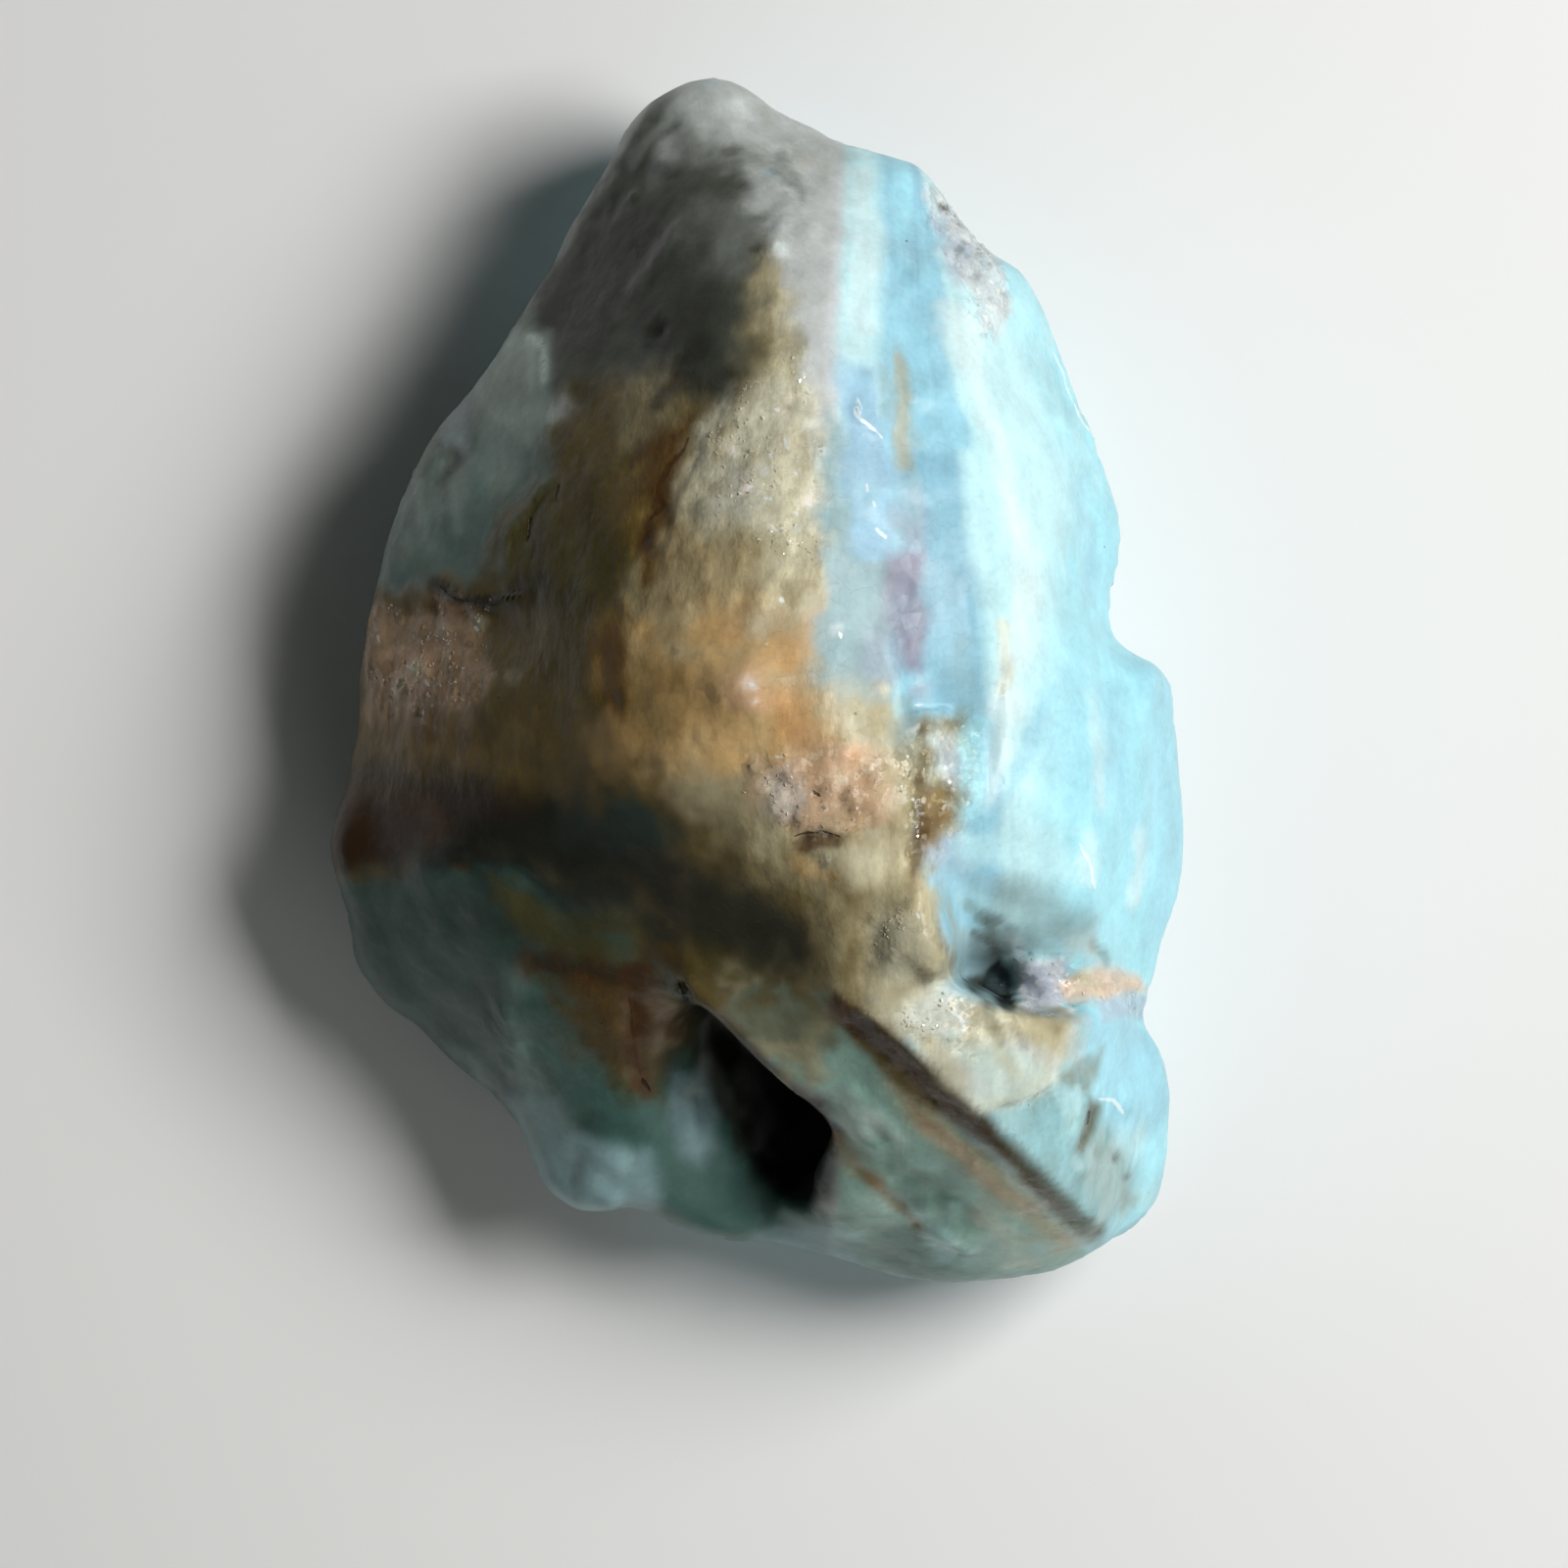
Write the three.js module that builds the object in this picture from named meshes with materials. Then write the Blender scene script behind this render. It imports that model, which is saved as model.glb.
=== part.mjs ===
// A raw, hand-sized chunk of amazonite, lying on its back.
//
// Units are millimetres and +Z is up. The origin is on the ground, under the middle of the stone.
// +X points to the aqua side, -X to the smoky side, +Y to the peak and +Z out of the broken front.
//
// The stone is drawn the way a sculptor draws one with wire. The rim is the widest outline. The
// front has fresh breaks and worn crests and valleys as wires; the back has a few keels and the
// edge of the flat face that it rests on. A skin of triangles is stretched over each set.

import * as THREE from 'three';

// ---------------------------------------------------------------- driving dimensions

const WIRE_STEP = 1.1;          // distance between the skin's points along a wire
const FRONT_STEP = 1.3;         // distance between the skin's free points on the front
const BACK_STEP = 2.6;          // and on the plainer back
const WIRE_GAP = 0.55;          // the nearest that points of two wires may come
const FREE_GAP = 0.72;          // the nearest that a free point may come to a wire
const STRETCH_ROUNDS = 500;     // rounds of averaging that pull the skin tight
const WEAR_ROUNDS = 7;          // rounds that then wear down all but the fresh breaks
const ROW_STEP = Math.sqrt(3) / 2;      // rows of free points lie this many steps apart
const GRID_JITTER = 0.25;       // how far free points stray from an even grid, in steps
const JITTER_WAVE = { row: 127.1, column: 311.7, size: 43758.5 };   // the wave that scatters them
const OVERHANG = { x: 1.7, y: 1.5 };    // how far the deep hollow runs in under the rib
const FAR = 4000;               // the corners of the first triangle, which holds all the points

// Lines that follow the rim around the blunt sides: how far inside it each lies, and how far above
// it on the front, or at what share of its height on the back.
const FLANK_LINES = [{ inset: 0.8, rise: 2.4 }];
const BELLY_LINES = [{ inset: 0.8, share: 0.7 }, { inset: 2.2, share: 0.42 }];

// ---------------------------------------------------------------- the wires, as [x, y, z]

// The widest outline, clockwise from the peak as seen from above.
const RIM = [
  [-2.6, 38.6, 14.5], [-0.6, 37.8, 14.5], [1.0, 36.6, 14], [2.4, 35.7, 14], [4.2, 34.8, 14.5],
  [6.4, 34.1, 15], [8.2, 33.2, 15.5], [10.0, 32.8, 15.5], [10.9, 31.9, 15.5], [13.3, 28.9, 16],
  [14.9, 27.0, 16], [15.9, 26.7, 15], [16.9, 26.0, 14], [18.1, 23.9, 13], [19.3, 20.8, 12],
  [20.4, 17.9, 12], [21.8, 14.7, 11], [22.9, 12.0, 10.5], [23.4, 9.8, 11], [23.1, 7.8, 12],
  [22.7, 5.5, 13.5], [22.5, 3.2, 15], [23.6, 1.7, 15.5], [25.6, 0.9, 15], [26.5, 0.1, 13.5],
  [26.6, -2.6, 12], [27.0, -6.5, 11], [27.2, -10.0, 10.5], [26.8, -13.6, 11.5],
  [25.8, -16.3, 13], [25.5, -18.3, 13.5], [24.7, -20.6, 14], [24.3, -21.6, 14],
  [25.3, -23.0, 13.5], [26.1, -25.0, 12.5], [26.3, -28.0, 11], [26.2, -31.0, 10],
  [25.6, -33.2, 9.5], [24.7, -34.6, 9.5], [22.4, -35.6, 10.5], [20.6, -37.0, 10.5],
  [18.0, -37.9, 10], [15.6, -38.3, 9.5], [13.2, -38.6, 9.5], [10.4, -38.3, 9.5],
  [8.0, -37.6, 9], [5.0, -36.6, 9], [1.6, -35.8, 9.5], [-2.8, -35.4, 10.5],
  [-5.2, -34.6, 11], [-6.7, -33.6, 11.5], [-8.4, -33.4, 11.5], [-10.6, -33.9, 11],
  [-12.4, -33.1, 10.5], [-13.5, -32.0, 10.5], [-14.3, -30.0, 10.5], [-15.2, -27.9, 10.5],
  [-16.8, -26.1, 9.5], [-18.8, -24.5, 8.5], [-20.3, -23.2, 8], [-21.4, -21.8, 8],
  [-23.0, -20.9, 8.5], [-24.6, -19.2, 8.5], [-25.5, -17.8, 9], [-25.8, -16.0, 9.5],
  [-26.5, -13.6, 10.5], [-27.1, -11.3, 11], [-27.1, -9.9, 11], [-26.6, -8.3, 10.5],
  [-25.9, -6.5, 10], [-25.6, -4.6, 9.5], [-25.2, -3.0, 9.5], [-25.1, 0.0, 10],
  [-24.6, 3.8, 11], [-24.0, 6.4, 12], [-23.3, 9.2, 12.5], [-22.2, 11.9, 12.5],
  [-21.2, 14.4, 12.5], [-19.9, 16.5, 12], [-18.6, 18.0, 12], [-17.0, 20.3, 12.5],
  [-15.4, 22.6, 13], [-14.2, 24.6, 13.5], [-12.7, 26.7, 14], [-12.0, 28.7, 14],
  [-10.6, 30.8, 13.5], [-9.3, 32.9, 13.5], [-8.1, 35.1, 14], [-6.6, 36.8, 14.5],
  [-4.8, 38.0, 14.5],
];

// The fresh breaks of the front, which stay sharp. A wire gives way to the wires before it.
const FRESH_WIRES = {
  // The lip of the rib over the deep hollow, the wall and mouth of the hollow, and its floor.
  hollow_lip: [
    [-4.4, -19.7, 27.4], [-3.4, -20.2, 27.6], [-1.6, -21.8, 27.6], [0.2, -23.6, 27.4],
    [2.2, -25.4, 26.8], [4.0, -26.8, 25.8], [5.3, -28.5, 24],
  ],
  hollow_wall: [[5.0, -29.6, 22.4], [4.6, -31.2, 19.6], [4.5, -32.6, 16.8], [4.0, -33.4, 15.4]],
  hollow_mouth: [[3.4, -33.6, 14.8], [2.4, -33.4, 14.2], [1.6, -32.9, 14.0]],
  hollow_floor: [
    [-3.6, -21.4, 16], [-2.0, -22.8, 11.5], [-0.4, -24.6, 8.5], [1.4, -26.4, 7.2],
    [3.1, -28.0, 6.8], [4.1, -29.6, 6.8], [3.7, -31.2, 7.2], [2.9, -32.3, 8.2],
  ],

  // The diagonal groove: its sharp upper edge, and its floor.
  groove_edge: [
    [5.9, -20.1, 33.0], [8.2, -21.8, 33.1], [10.2, -23.5, 32.8], [12.2, -25.5, 32.0],
    [14.2, -27.2, 30.7], [16.5, -29.5, 28.6], [18.5, -31.6, 26], [20.5, -33.4, 22],
    [22.0, -34.9, 16.5],
  ],
  groove_floor: [
    [4.7, -20.6, 31.0], [7.6, -22.7, 30.7], [9.5, -24.4, 30.3], [11.5, -26.4, 29.5],
    [13.5, -28.2, 28.5], [15.9, -30.5, 26.6], [18.0, -32.5, 23.8], [20.1, -34.2, 19.8],
    [21.5, -35.2, 14.6],
  ],

  // The step where the honey-coloured front breaks away to the recessed aqua face.
  front_break: [
    [10.1, -2.4, 34.4], [10.2, -5.0, 35.0], [10.2, -8.0, 35.3], [10.3, -11.0, 35.2],
    [10.8, -13.4, 34.8], [11.7, -15.4, 34.2], [12.0, -17.0, 33.8], [11.5, -18.2, 33.6],
    [10.9, -18.9, 33.6],
  ],
  break_foot: [
    [11.0, -3.0, 33.4], [11.3, -6.0, 33.3], [11.5, -9.0, 33.0], [11.9, -12.0, 31.8],
    [12.7, -15.0, 28.6], [12.9, -17.2, 26.4], [12.6, -18.6, 25.0],
  ],
  trough_lip: [[9.6, -1.7, 32.2], [11.0, -1.9, 31.9], [12.4, -1.8, 32.0]],
  trough_step: [[12.3, -2.6, 30.8], [13.4, -3.4, 30.6]],

  // The lump at the lower right, where it overhangs the pocket.
  lump_edge: [
    [12.3, -19.3, 33.4], [13.6, -19.9, 33.0], [15.2, -20.8, 32.2], [17.4, -21.4, 30.6],
    [19.6, -21.5, 28.2], [21.6, -21.3, 25], [23.4, -21.9, 19],
  ],
  pocket_foot: [[13.5, -19.3, 24.0], [15.4, -19.3, 19.0], [17.2, -20.4, 24.0], [19.8, -20.5, 22.6]],

  // The smoky side: a ledge with a crack under it, and the crack above the lobe.
  smoky_ledge: [[-20.4, 6.5, 17.9], [-18.2, 5.5, 20.4], [-16.4, 5.4, 22.2], [-14.4, 5.6, 24.2]],
  ledge_foot: [[-19.7, 5.6, 17.2], [-18.0, 4.8, 19.2], [-16.0, 4.7, 21.2], [-14.2, 4.9, 23.2]],
  lobe_crack: [[-21.0, -11.6, 19.2], [-18.4, -11.4, 21.8], [-16.0, -11.7, 23.4], [-13.8, -12.6, 24]],
};

// The crests, valleys and swellings of the front, which are worn.
const WORN_WIRES = {
  groove_brim: [
    [3.6, -21.9, 30.7], [6.4, -24.2, 31.0], [9.2, -27.0, 30.3], [12.2, -29.8, 28.6],
    [15.5, -32.3, 25.8], [18.4, -34.5, 21.0], [20.0, -35.9, 15.8],
  ],
  rib_crest: [
    [-6.6, -16.9, 27.8], [-3.6, -18.9, 29.4], [-0.2, -21.2, 30.2], [3.2, -24.6, 29.9],
    [6.4, -27.7, 28.7], [9.4, -30.6, 26.9], [13.0, -33.4, 23.8], [16.6, -35.8, 18.4],
  ],
  rib_flank: [[6.6, -31.2, 22.6], [9.6, -34.2, 19.6], [13.0, -36.4, 15.8]],
  hollow_slope: [[-3.6, -23.0, 18.6], [-1.9, -25.8, 16.8], [-0.8, -28.4, 14.2], [0.7, -31.0, 11.8]],
  foot: [[-3.0, -33.0, 14.8], [1.4, -34.6, 14.2], [6.0, -34.8, 15.8], [10.0, -36.6, 14.4]],

  lump_crest: [[10.6, -21.0, 34.6], [13.4, -23.4, 34.2], [17.0, -25.8, 32.2], [20.6, -28.0, 28.8]],
  lump_side: [[21.6, -24.2, 27.4], [23.8, -27.4, 23.4], [23.4, -31.0, 21], [21.6, -33.0, 20]],
  pocket_floor: [[14.0, -16.6, 26.0], [15.0, -17.9, 24.2], [17.7, -18.6, 25.2], [21.4, -19.3, 23.0]],
  pocket_rise: [[14.0, -14.0, 28.4], [16.8, -15.2, 27.0], [19.8, -16.6, 25.4], [22.6, -17.8, 22.6]],

  // The main crest from the peak down to the lump, and the brow where the front turns dark.
  main_crest: [
    [-2.4, 36.4, 21.4], [-0.8, 33.4, 24.2], [0.8, 30.2, 27.4], [1.6, 27.2, 30.0],
    [2.0, 24.0, 31.4], [2.6, 20.0, 32.8], [3.2, 16.0, 34.2], [4.0, 12.0, 35.5],
    [4.8, 7.0, 36.8], [5.5, 2.0, 37.6], [6.2, -3.0, 38.2], [7.0, -8.0, 38.4],
    [8.0, -12.5, 37.8], [9.2, -16.5, 36.4],
  ],
  brow: [
    [-1.2, 30.6, 25.2], [0.0, 25.6, 29.6], [-0.5, 20.6, 31.6], [-2.1, 17.0, 32.2],
    [-3.9, 13.6, 32.6], [-5.3, 10.6, 32.9], [-7.6, 6.0, 33.0], [-8.6, 1.0, 33.4],
    [-9.0, -3.0, 32.8], [-6.4, -6.0, 34.0], [-2.2, -8.2, 35.2], [1.8, -11.0, 35.4],
    [4.6, -14.6, 34.7], [6.6, -18.0, 33.8],
  ],
  honey_swell: [[-4.2, 2.4, 35.4], [-0.6, 0.6, 36.8], [1.4, -2.6, 37.4], [3.0, -6.4, 37.4]],
  brow_foot: [
    [-13.0, -11.9, 24.2], [-9.6, -13.0, 25.6], [-5.6, -14.4, 26.4], [-1.6, -16.2, 27.2],
    [2.0, -18.6, 28.2],
  ],

  // The fluted trough beside the main crest, and the second crest and aqua block beyond it.
  flute: [[6.2, 31.4, 23.8], [6.9, 24.0, 29.4], [7.1, 16.0, 32.0], [7.4, 8.0, 34.1], [7.9, 0.5, 35]],
  trough: [
    [9.6, 30.4, 21.4], [9.8, 26.0, 24.4], [10.1, 20.0, 27.0], [10.3, 14.0, 28.9],
    [10.3, 8.0, 30.2], [10.4, 2.0, 31.2], [10.6, -0.8, 31.8],
  ],
  second_crest: [
    [12.0, 29.0, 21.4], [12.6, 25.0, 26.0], [13.7, 18.0, 29.9], [14.8, 12.0, 31.7],
    [15.7, 6.0, 32.7], [16.4, 0.0, 33.0], [16.4, -5.0, 32.8], [16.0, -9.0, 32.0],
  ],
  aqua_shoulder: [[16.8, 22.0, 22.4], [19.0, 15.0, 25.4], [20.4, 9.0, 26.8], [20.8, 3.0, 28.2]],
  aqua_block_edge: [[24.6, -1.6, 25.2], [24.7, -6.0, 25.8], [24.6, -11.0, 24.8], [23.8, -15.0, 22]],
  aqua_block_brow: [[14.6, -11.8, 30.6], [17.5, -12.2, 30.2], [20.4, -13.4, 29.0], [22.8, -15.2, 26]],

  // The smoky side, the sugary swelling, and the lobe with its two knobs.
  smoky_break: [[-9.4, 31.0, 18.6], [-12.8, 24.6, 18.4], [-13.1, 20.8, 20.4], [-12.4, 15.8, 23.2]],
  smoky_flank: [[-17.2, 16.0, 18.6], [-19.4, 11.4, 18.2], [-20.6, 8.0, 17.6]],
  sugary_swell: [[-21.6, 3.0, 18.4], [-21.4, -1.4, 20.0], [-21.8, -5.6, 19.4], [-23.0, -9.0, 17.4]],
  smoky_face: [[-14.6, 1.0, 24.2], [-14.2, -3.0, 25.2], [-14.4, -7.4, 25.4]],
  lobe_brow: [
    [-21.4, -12.7, 19.4], [-18.2, -12.6, 21.6], [-15.8, -12.9, 23.2], [-13.2, -14.0, 24],
    [-10.0, -15.2, 25.2],
  ],
  lobe_crest: [[-20.8, -15.0, 19.8], [-18.2, -17.6, 20.4], [-16.6, -20.4, 19.6], [-15.8, -24.0, 16.4]],
  lobe_back: [[-11.0, -19.0, 24.0], [-8.2, -21.4, 23.8], [-6.6, -23.2, 22.6], [-9.6, -26.0, 19.0]],
  knob_low: [[-11.8, -30.6, 16.4], [-9.0, -31.0, 18.2], [-7.0, -31.8, 17.2]],
  knob_high: [[-5.0, -24.6, 21.4], [-4.4, -26.6, 21.8], [-3.9, -28.6, 21.4], [-3.5, -30.2, 18.6]],
};

// The edge of the broken flat face that the stone rests on, anticlockwise.
const RESTING_EDGE = [
  [-6.0, 24.0, 0], [2.5, 21.5, 0], [9.5, 12.0, 0], [13.5, 0.0, 0], [15.0, -13.0, 0],
  [12.0, -22.0, 0], [4.0, -27.5, 0], [-7.0, -27.0, 0], [-13.5, -20.5, 0], [-19.0, -14.5, 0],
  [-19.5, -3.0, 0], [-16.5, 8.5, 0], [-12.5, 17.5, 0],
];

// The keels of the back, between which it has broken flat.
const BACK_WIRES = {
  peak_keel: [[-4.4, 34.4, 5.0], [-4.6, 29.0, 1.8]],
  crest_keel: [[11.4, 25.6, 6.0], [7.6, 20.4, 2.2]],
  aqua_keel: [[18.6, 12.6, 6.4], [19.4, 2.0, 6.2], [21.6, -9.0, 4.6], [19.8, -19.0, 5.4]],
  lump_keel: [[21.6, -30.6, 5.0], [16.0, -27.4, 2.2]],
  foot_keel: [[13.0, -34.2, 4.4], [9.0, -29.6, 1.8]],
};

// ---------------------------------------------------------------- points of the skin

// Evenly spaced points on a smooth curve through a wire.
const along = (wire, closed = false) => {
  const curve = new THREE.CatmullRomCurve3(
    wire.map((point) => new THREE.Vector3(...point)), closed, 'centripetal');
  const points = curve.getSpacedPoints(Math.max(1, Math.round(curve.getLength() / WIRE_STEP)));
  return closed ? points.slice(0, -1) : points;
};

const isClear = (point, others, gap) => others.every(
  (other) => Math.hypot(point.x - other.x, point.y - other.y) >= gap);

const isInside = (point, loop) => {
  let inside = false;
  loop.forEach((a, i) => {
    const b = loop[(i + 1) % loop.length];
    const crosses = (a.y > point.y) !== (b.y > point.y);
    if (crosses && point.x < a.x + (b.x - a.x) * (point.y - a.y) / (b.y - a.y)) inside = !inside;
  });
  return inside;
};

// A line that follows a clockwise loop at a distance inside it.
const followLoop = (loop, { inset, rise = 0, share = 1 }) => loop.map((point, i) => {
  const before = loop[(i + loop.length - 1) % loop.length];
  const after = loop[(i + 1) % loop.length];
  const run = new THREE.Vector2(after.x - before.x, after.y - before.y).normalize();
  return new THREE.Vector3(
    point.x + run.y * inset, point.y - run.x * inset, point.z * share + rise);
});

// A repeatable random number from -0.5 to 0.5 for a pair of whole numbers.
const scatter = (i, j) => {
  const wave = Math.sin(i * JITTER_WAVE.row + j * JITTER_WAVE.column) * JITTER_WAVE.size;
  return wave - Math.floor(wave) - 0.5;
};

// Free points on a jittered triangular grid, inside the loop and clear of the held points.
const freePoints = (loop, held, step) => {
  const box = new THREE.Box3().setFromPoints(loop);
  const rowStep = step * ROW_STEP;
  const rows = Math.ceil((box.max.y - box.min.y) / rowStep);
  const columns = Math.ceil((box.max.x - box.min.x) / step);
  const points = [];
  for (let j = 0; j <= rows; j += 1) {
    for (let i = 0; i <= columns; i += 1) {
      const x = box.min.x + (i + (j % 2) / 2 + scatter(i, j) * GRID_JITTER) * step;
      const y = box.min.y + (j + scatter(j, i) * GRID_JITTER) * rowStep;
      const point = new THREE.Vector3(x, y, 0);
      if (isInside(point, loop) && isClear(point, held, FREE_GAP)) points.push(point);
    }
  }
  return points;
};

// ---------------------------------------------------------------- triangles of the skin

// A triangle of three point numbers, with the circle through its corners.
const circled = (points, corners) => {
  const [a, b, c] = corners.map((corner) => points[corner]);
  const [bx, by, cx, cy] = [b.x - a.x, b.y - a.y, c.x - a.x, c.y - a.y];
  const twiceArea = 2 * (bx * cy - by * cx);
  const x = (cy * (bx * bx + by * by) - by * (cx * cx + cy * cy)) / twiceArea;
  const y = (bx * (cx * cx + cy * cy) - cx * (bx * bx + by * by)) / twiceArea;
  return { corners, x: a.x + x, y: a.y + y, reach: x * x + y * y };
};

// Delaunay triangles of points seen from above. Each new point clears the triangles whose circle
// holds it, and is joined to the edge of the gap that they leave.
const triangulate = (points) => {
  const all = [...points, { x: -FAR, y: -FAR }, { x: FAR, y: -FAR }, { x: 0, y: FAR }];
  const count = points.length;
  let triangles = [circled(all, [count, count + 1, count + 2])];
  points.forEach((point, number) => {
    const gap = new Map();
    triangles = triangles.filter((triangle) => {
      const dx = triangle.x - point.x;
      const dy = triangle.y - point.y;
      if (dx * dx + dy * dy >= triangle.reach) return true;
      triangle.corners.forEach((from, i) => {
        const to = triangle.corners[(i + 1) % 3];
        if (!gap.delete(`${to},${from}`)) gap.set(`${from},${to}`, [from, to]);
      });
      return false;
    });
    gap.forEach(([from, to]) => triangles.push(circled(all, [from, to, number])));
  });
  return triangles.map(({ corners }) => corners).filter((corners) => Math.max(...corners) < count);
};

// Moves each point that isn't held to the average height of its neighbours, and gives it the
// average of their pull under the overhang.
const settle = (points, triangles, isHeld, rounds) => {
  const neighbours = points.map(() => new Set());
  triangles.forEach((corners) => corners.forEach((corner, i) => {
    neighbours[corner].add(corners[(i + 1) % 3]).add(corners[(i + 2) % 3]);
  }));
  const loose = points.map((point, i) => i).filter((i) => !isHeld(points[i]));
  for (let round = 0; round < rounds; round += 1) {
    loose.forEach((i) => {
      let height = 0;
      let pull = 0;
      neighbours[i].forEach((j) => {
        height += points[j].z;
        pull += points[j].pull;
      });
      points[i].z = height / neighbours[i].size;
      points[i].pull = pull / neighbours[i].size;
    });
  }
};

// A skin over a rim, as points and triangles. The rim's points come first. Fresh and worn wires
// and side lines hold it up, and nothing lies inside the flat loop.
const skin = (rim, fresh, worn, sideLines, step, flatLoop = []) => {
  const held = [...rim];
  const hold = (points, kind, gap) => {
    const others = [...held];
    points.filter((point) => isInside(point, rim) && isClear(point, others, gap))
      .forEach((point) => held.push(Object.assign(point, kind)));
  };
  const isOutsideFlat = (point) => !isInside(point, flatLoop);
  Object.entries(fresh).forEach(([name, wire]) => {
    hold(along(wire), { fresh: true, pull: name === 'hollow_floor' ? 1 : 0 }, WIRE_GAP);
  });
  hold(flatLoop, { fresh: true }, WIRE_GAP);
  Object.values(worn).forEach((wire) => {
    hold(along(wire).filter(isOutsideFlat), { worn: true }, WIRE_GAP);
  });
  sideLines.forEach((line) => {
    hold(followLoop(rim, line).filter(isOutsideFlat), { fresh: true }, FREE_GAP);
  });

  const points = [...held, ...freePoints(rim, held, step).filter(isOutsideFlat)];
  points.forEach((point) => {
    point.pull ??= 0;
  });
  const triangles = triangulate(points).filter(([a, b, c]) => {
    const middle = points[a].clone().add(points[b]).add(points[c]).divideScalar(3);
    return isInside(middle, rim);
  });
  settle(points, triangles, (point) => point.onRim || point.fresh || point.worn, STRETCH_ROUNDS);
  settle(points, triangles, (point) => point.onRim || point.fresh, WEAR_ROUNDS);
  return { points, triangles };
};

// ---------------------------------------------------------------- the stone

const rim = along(RIM, true).map((point) => Object.assign(point, { onRim: true }));
const front = skin(rim, FRESH_WIRES, WORN_WIRES, FLANK_LINES, FRONT_STEP);
const back = skin(rim, {}, BACK_WIRES, BELLY_LINES, BACK_STEP, along(RESTING_EDGE, true));

// The two skins share the rim's points, so they close into one body.
const stoneGeometry = () => {
  const points = [...front.points, ...back.points.slice(rim.length)];
  const backNumber = (i) => (i < rim.length ? i : i + front.points.length - rim.length);
  const positions = points.flatMap(({ x, y, z, pull }) => [
    x + pull * OVERHANG.x, y + pull * OVERHANG.y, z,
  ]);
  const index = [
    ...front.triangles.flat(),
    ...back.triangles.flatMap(([a, b, c]) => [a, c, b].map(backNumber)),
  ];
  const geometry = new THREE.BufferGeometry();
  geometry.setAttribute('position', new THREE.Float32BufferAttribute(positions, 3));
  geometry.setIndex(index);
  geometry.computeBoundingBox();
  const middle = geometry.boundingBox.getCenter(new THREE.Vector3());
  geometry.translate(-middle.x, -middle.y, 0);
  geometry.computeVertexNormals();
  return geometry;
};

const stoneMaterial = new THREE.MeshStandardMaterial({
  color: 0xa9c6c6, roughness: 0.45, metalness: 0,
});

const amazonite = new THREE.Mesh(stoneGeometry(), stoneMaterial);
amazonite.name = 'amazonite';

const group = new THREE.Group();
group.add(amazonite);

export default group;
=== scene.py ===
# %% [markdown]
# # A raw amazonite
#
# Amazonite is a blue-green feldspar. This is one hand-sized rough piece of it, lying on its back
# with its broken front up. It has bands of ice white and sky blue down one side, smoky grey on the
# other, rust and honey stains between them, a diagonal groove, and a deep hollow under a rib.
#
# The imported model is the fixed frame: it has the stone's true size and its large planes, as one
# closed solid of a few thousand flat triangles. This lesson gives it a natural stone's skin.
# It goes from large to small: a smooth body, sculpted breaks, painted minerals, crystals, polish.

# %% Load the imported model
import itertools
import math

import bmesh
import bpy
import numpy as np
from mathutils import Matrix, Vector


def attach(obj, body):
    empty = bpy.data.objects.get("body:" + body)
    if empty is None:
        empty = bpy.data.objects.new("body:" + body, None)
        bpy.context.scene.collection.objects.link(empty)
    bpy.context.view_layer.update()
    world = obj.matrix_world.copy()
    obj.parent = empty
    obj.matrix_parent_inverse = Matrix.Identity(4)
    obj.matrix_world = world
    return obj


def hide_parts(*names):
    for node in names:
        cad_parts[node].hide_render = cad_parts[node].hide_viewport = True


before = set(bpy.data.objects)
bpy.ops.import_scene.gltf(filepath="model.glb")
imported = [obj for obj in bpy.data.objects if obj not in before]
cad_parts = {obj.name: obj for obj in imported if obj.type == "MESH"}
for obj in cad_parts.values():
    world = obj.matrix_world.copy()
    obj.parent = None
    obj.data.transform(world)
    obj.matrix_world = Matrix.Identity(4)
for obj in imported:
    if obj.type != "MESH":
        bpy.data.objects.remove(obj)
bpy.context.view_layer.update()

MM = 0.001

# %% [markdown]
# ## Camera, floor and light
#
# The stone is looked at straight down on its broken front, through a long lens, so that its height
# hardly widens it. The picture is 100 mm wide at the height of the stone's rim. The floor is a plain
# pale table. One soft window-like light stands high on the aqua side, which leaves the smoky side
# in shade and lets the deep hollow go dark. A weaker light beyond the stone's foot and a weak even
# sky fill the shade.

# %% Camera
LENS = 400.0
SENSOR = 36.0
PICTURE_WIDTH = 100 * MM
RIM_HEIGHT = 12 * MM
AIM = (1.78 * MM, -6.5 * MM)

camera_data = bpy.data.cameras.new("camera")
camera_data.lens = LENS
camera_data.sensor_width = SENSOR
camera_data.clip_end = 10.0
camera = bpy.data.objects.new("camera", camera_data)
camera.location = (*AIM, RIM_HEIGHT + PICTURE_WIDTH * LENS / SENSOR)
bpy.context.scene.collection.objects.link(camera)
bpy.context.scene.camera = camera
bpy.context.scene.view_settings.view_transform = "Standard"
print("camera height, in mm:", round(camera.location.z / MM))

# %% Floor
FLOOR_SIZE = 4.0                # metres
TABLE_COLOUR = (0.86, 0.86, 0.86, 1)
TABLE_ROUGHNESS = 0.8

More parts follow.
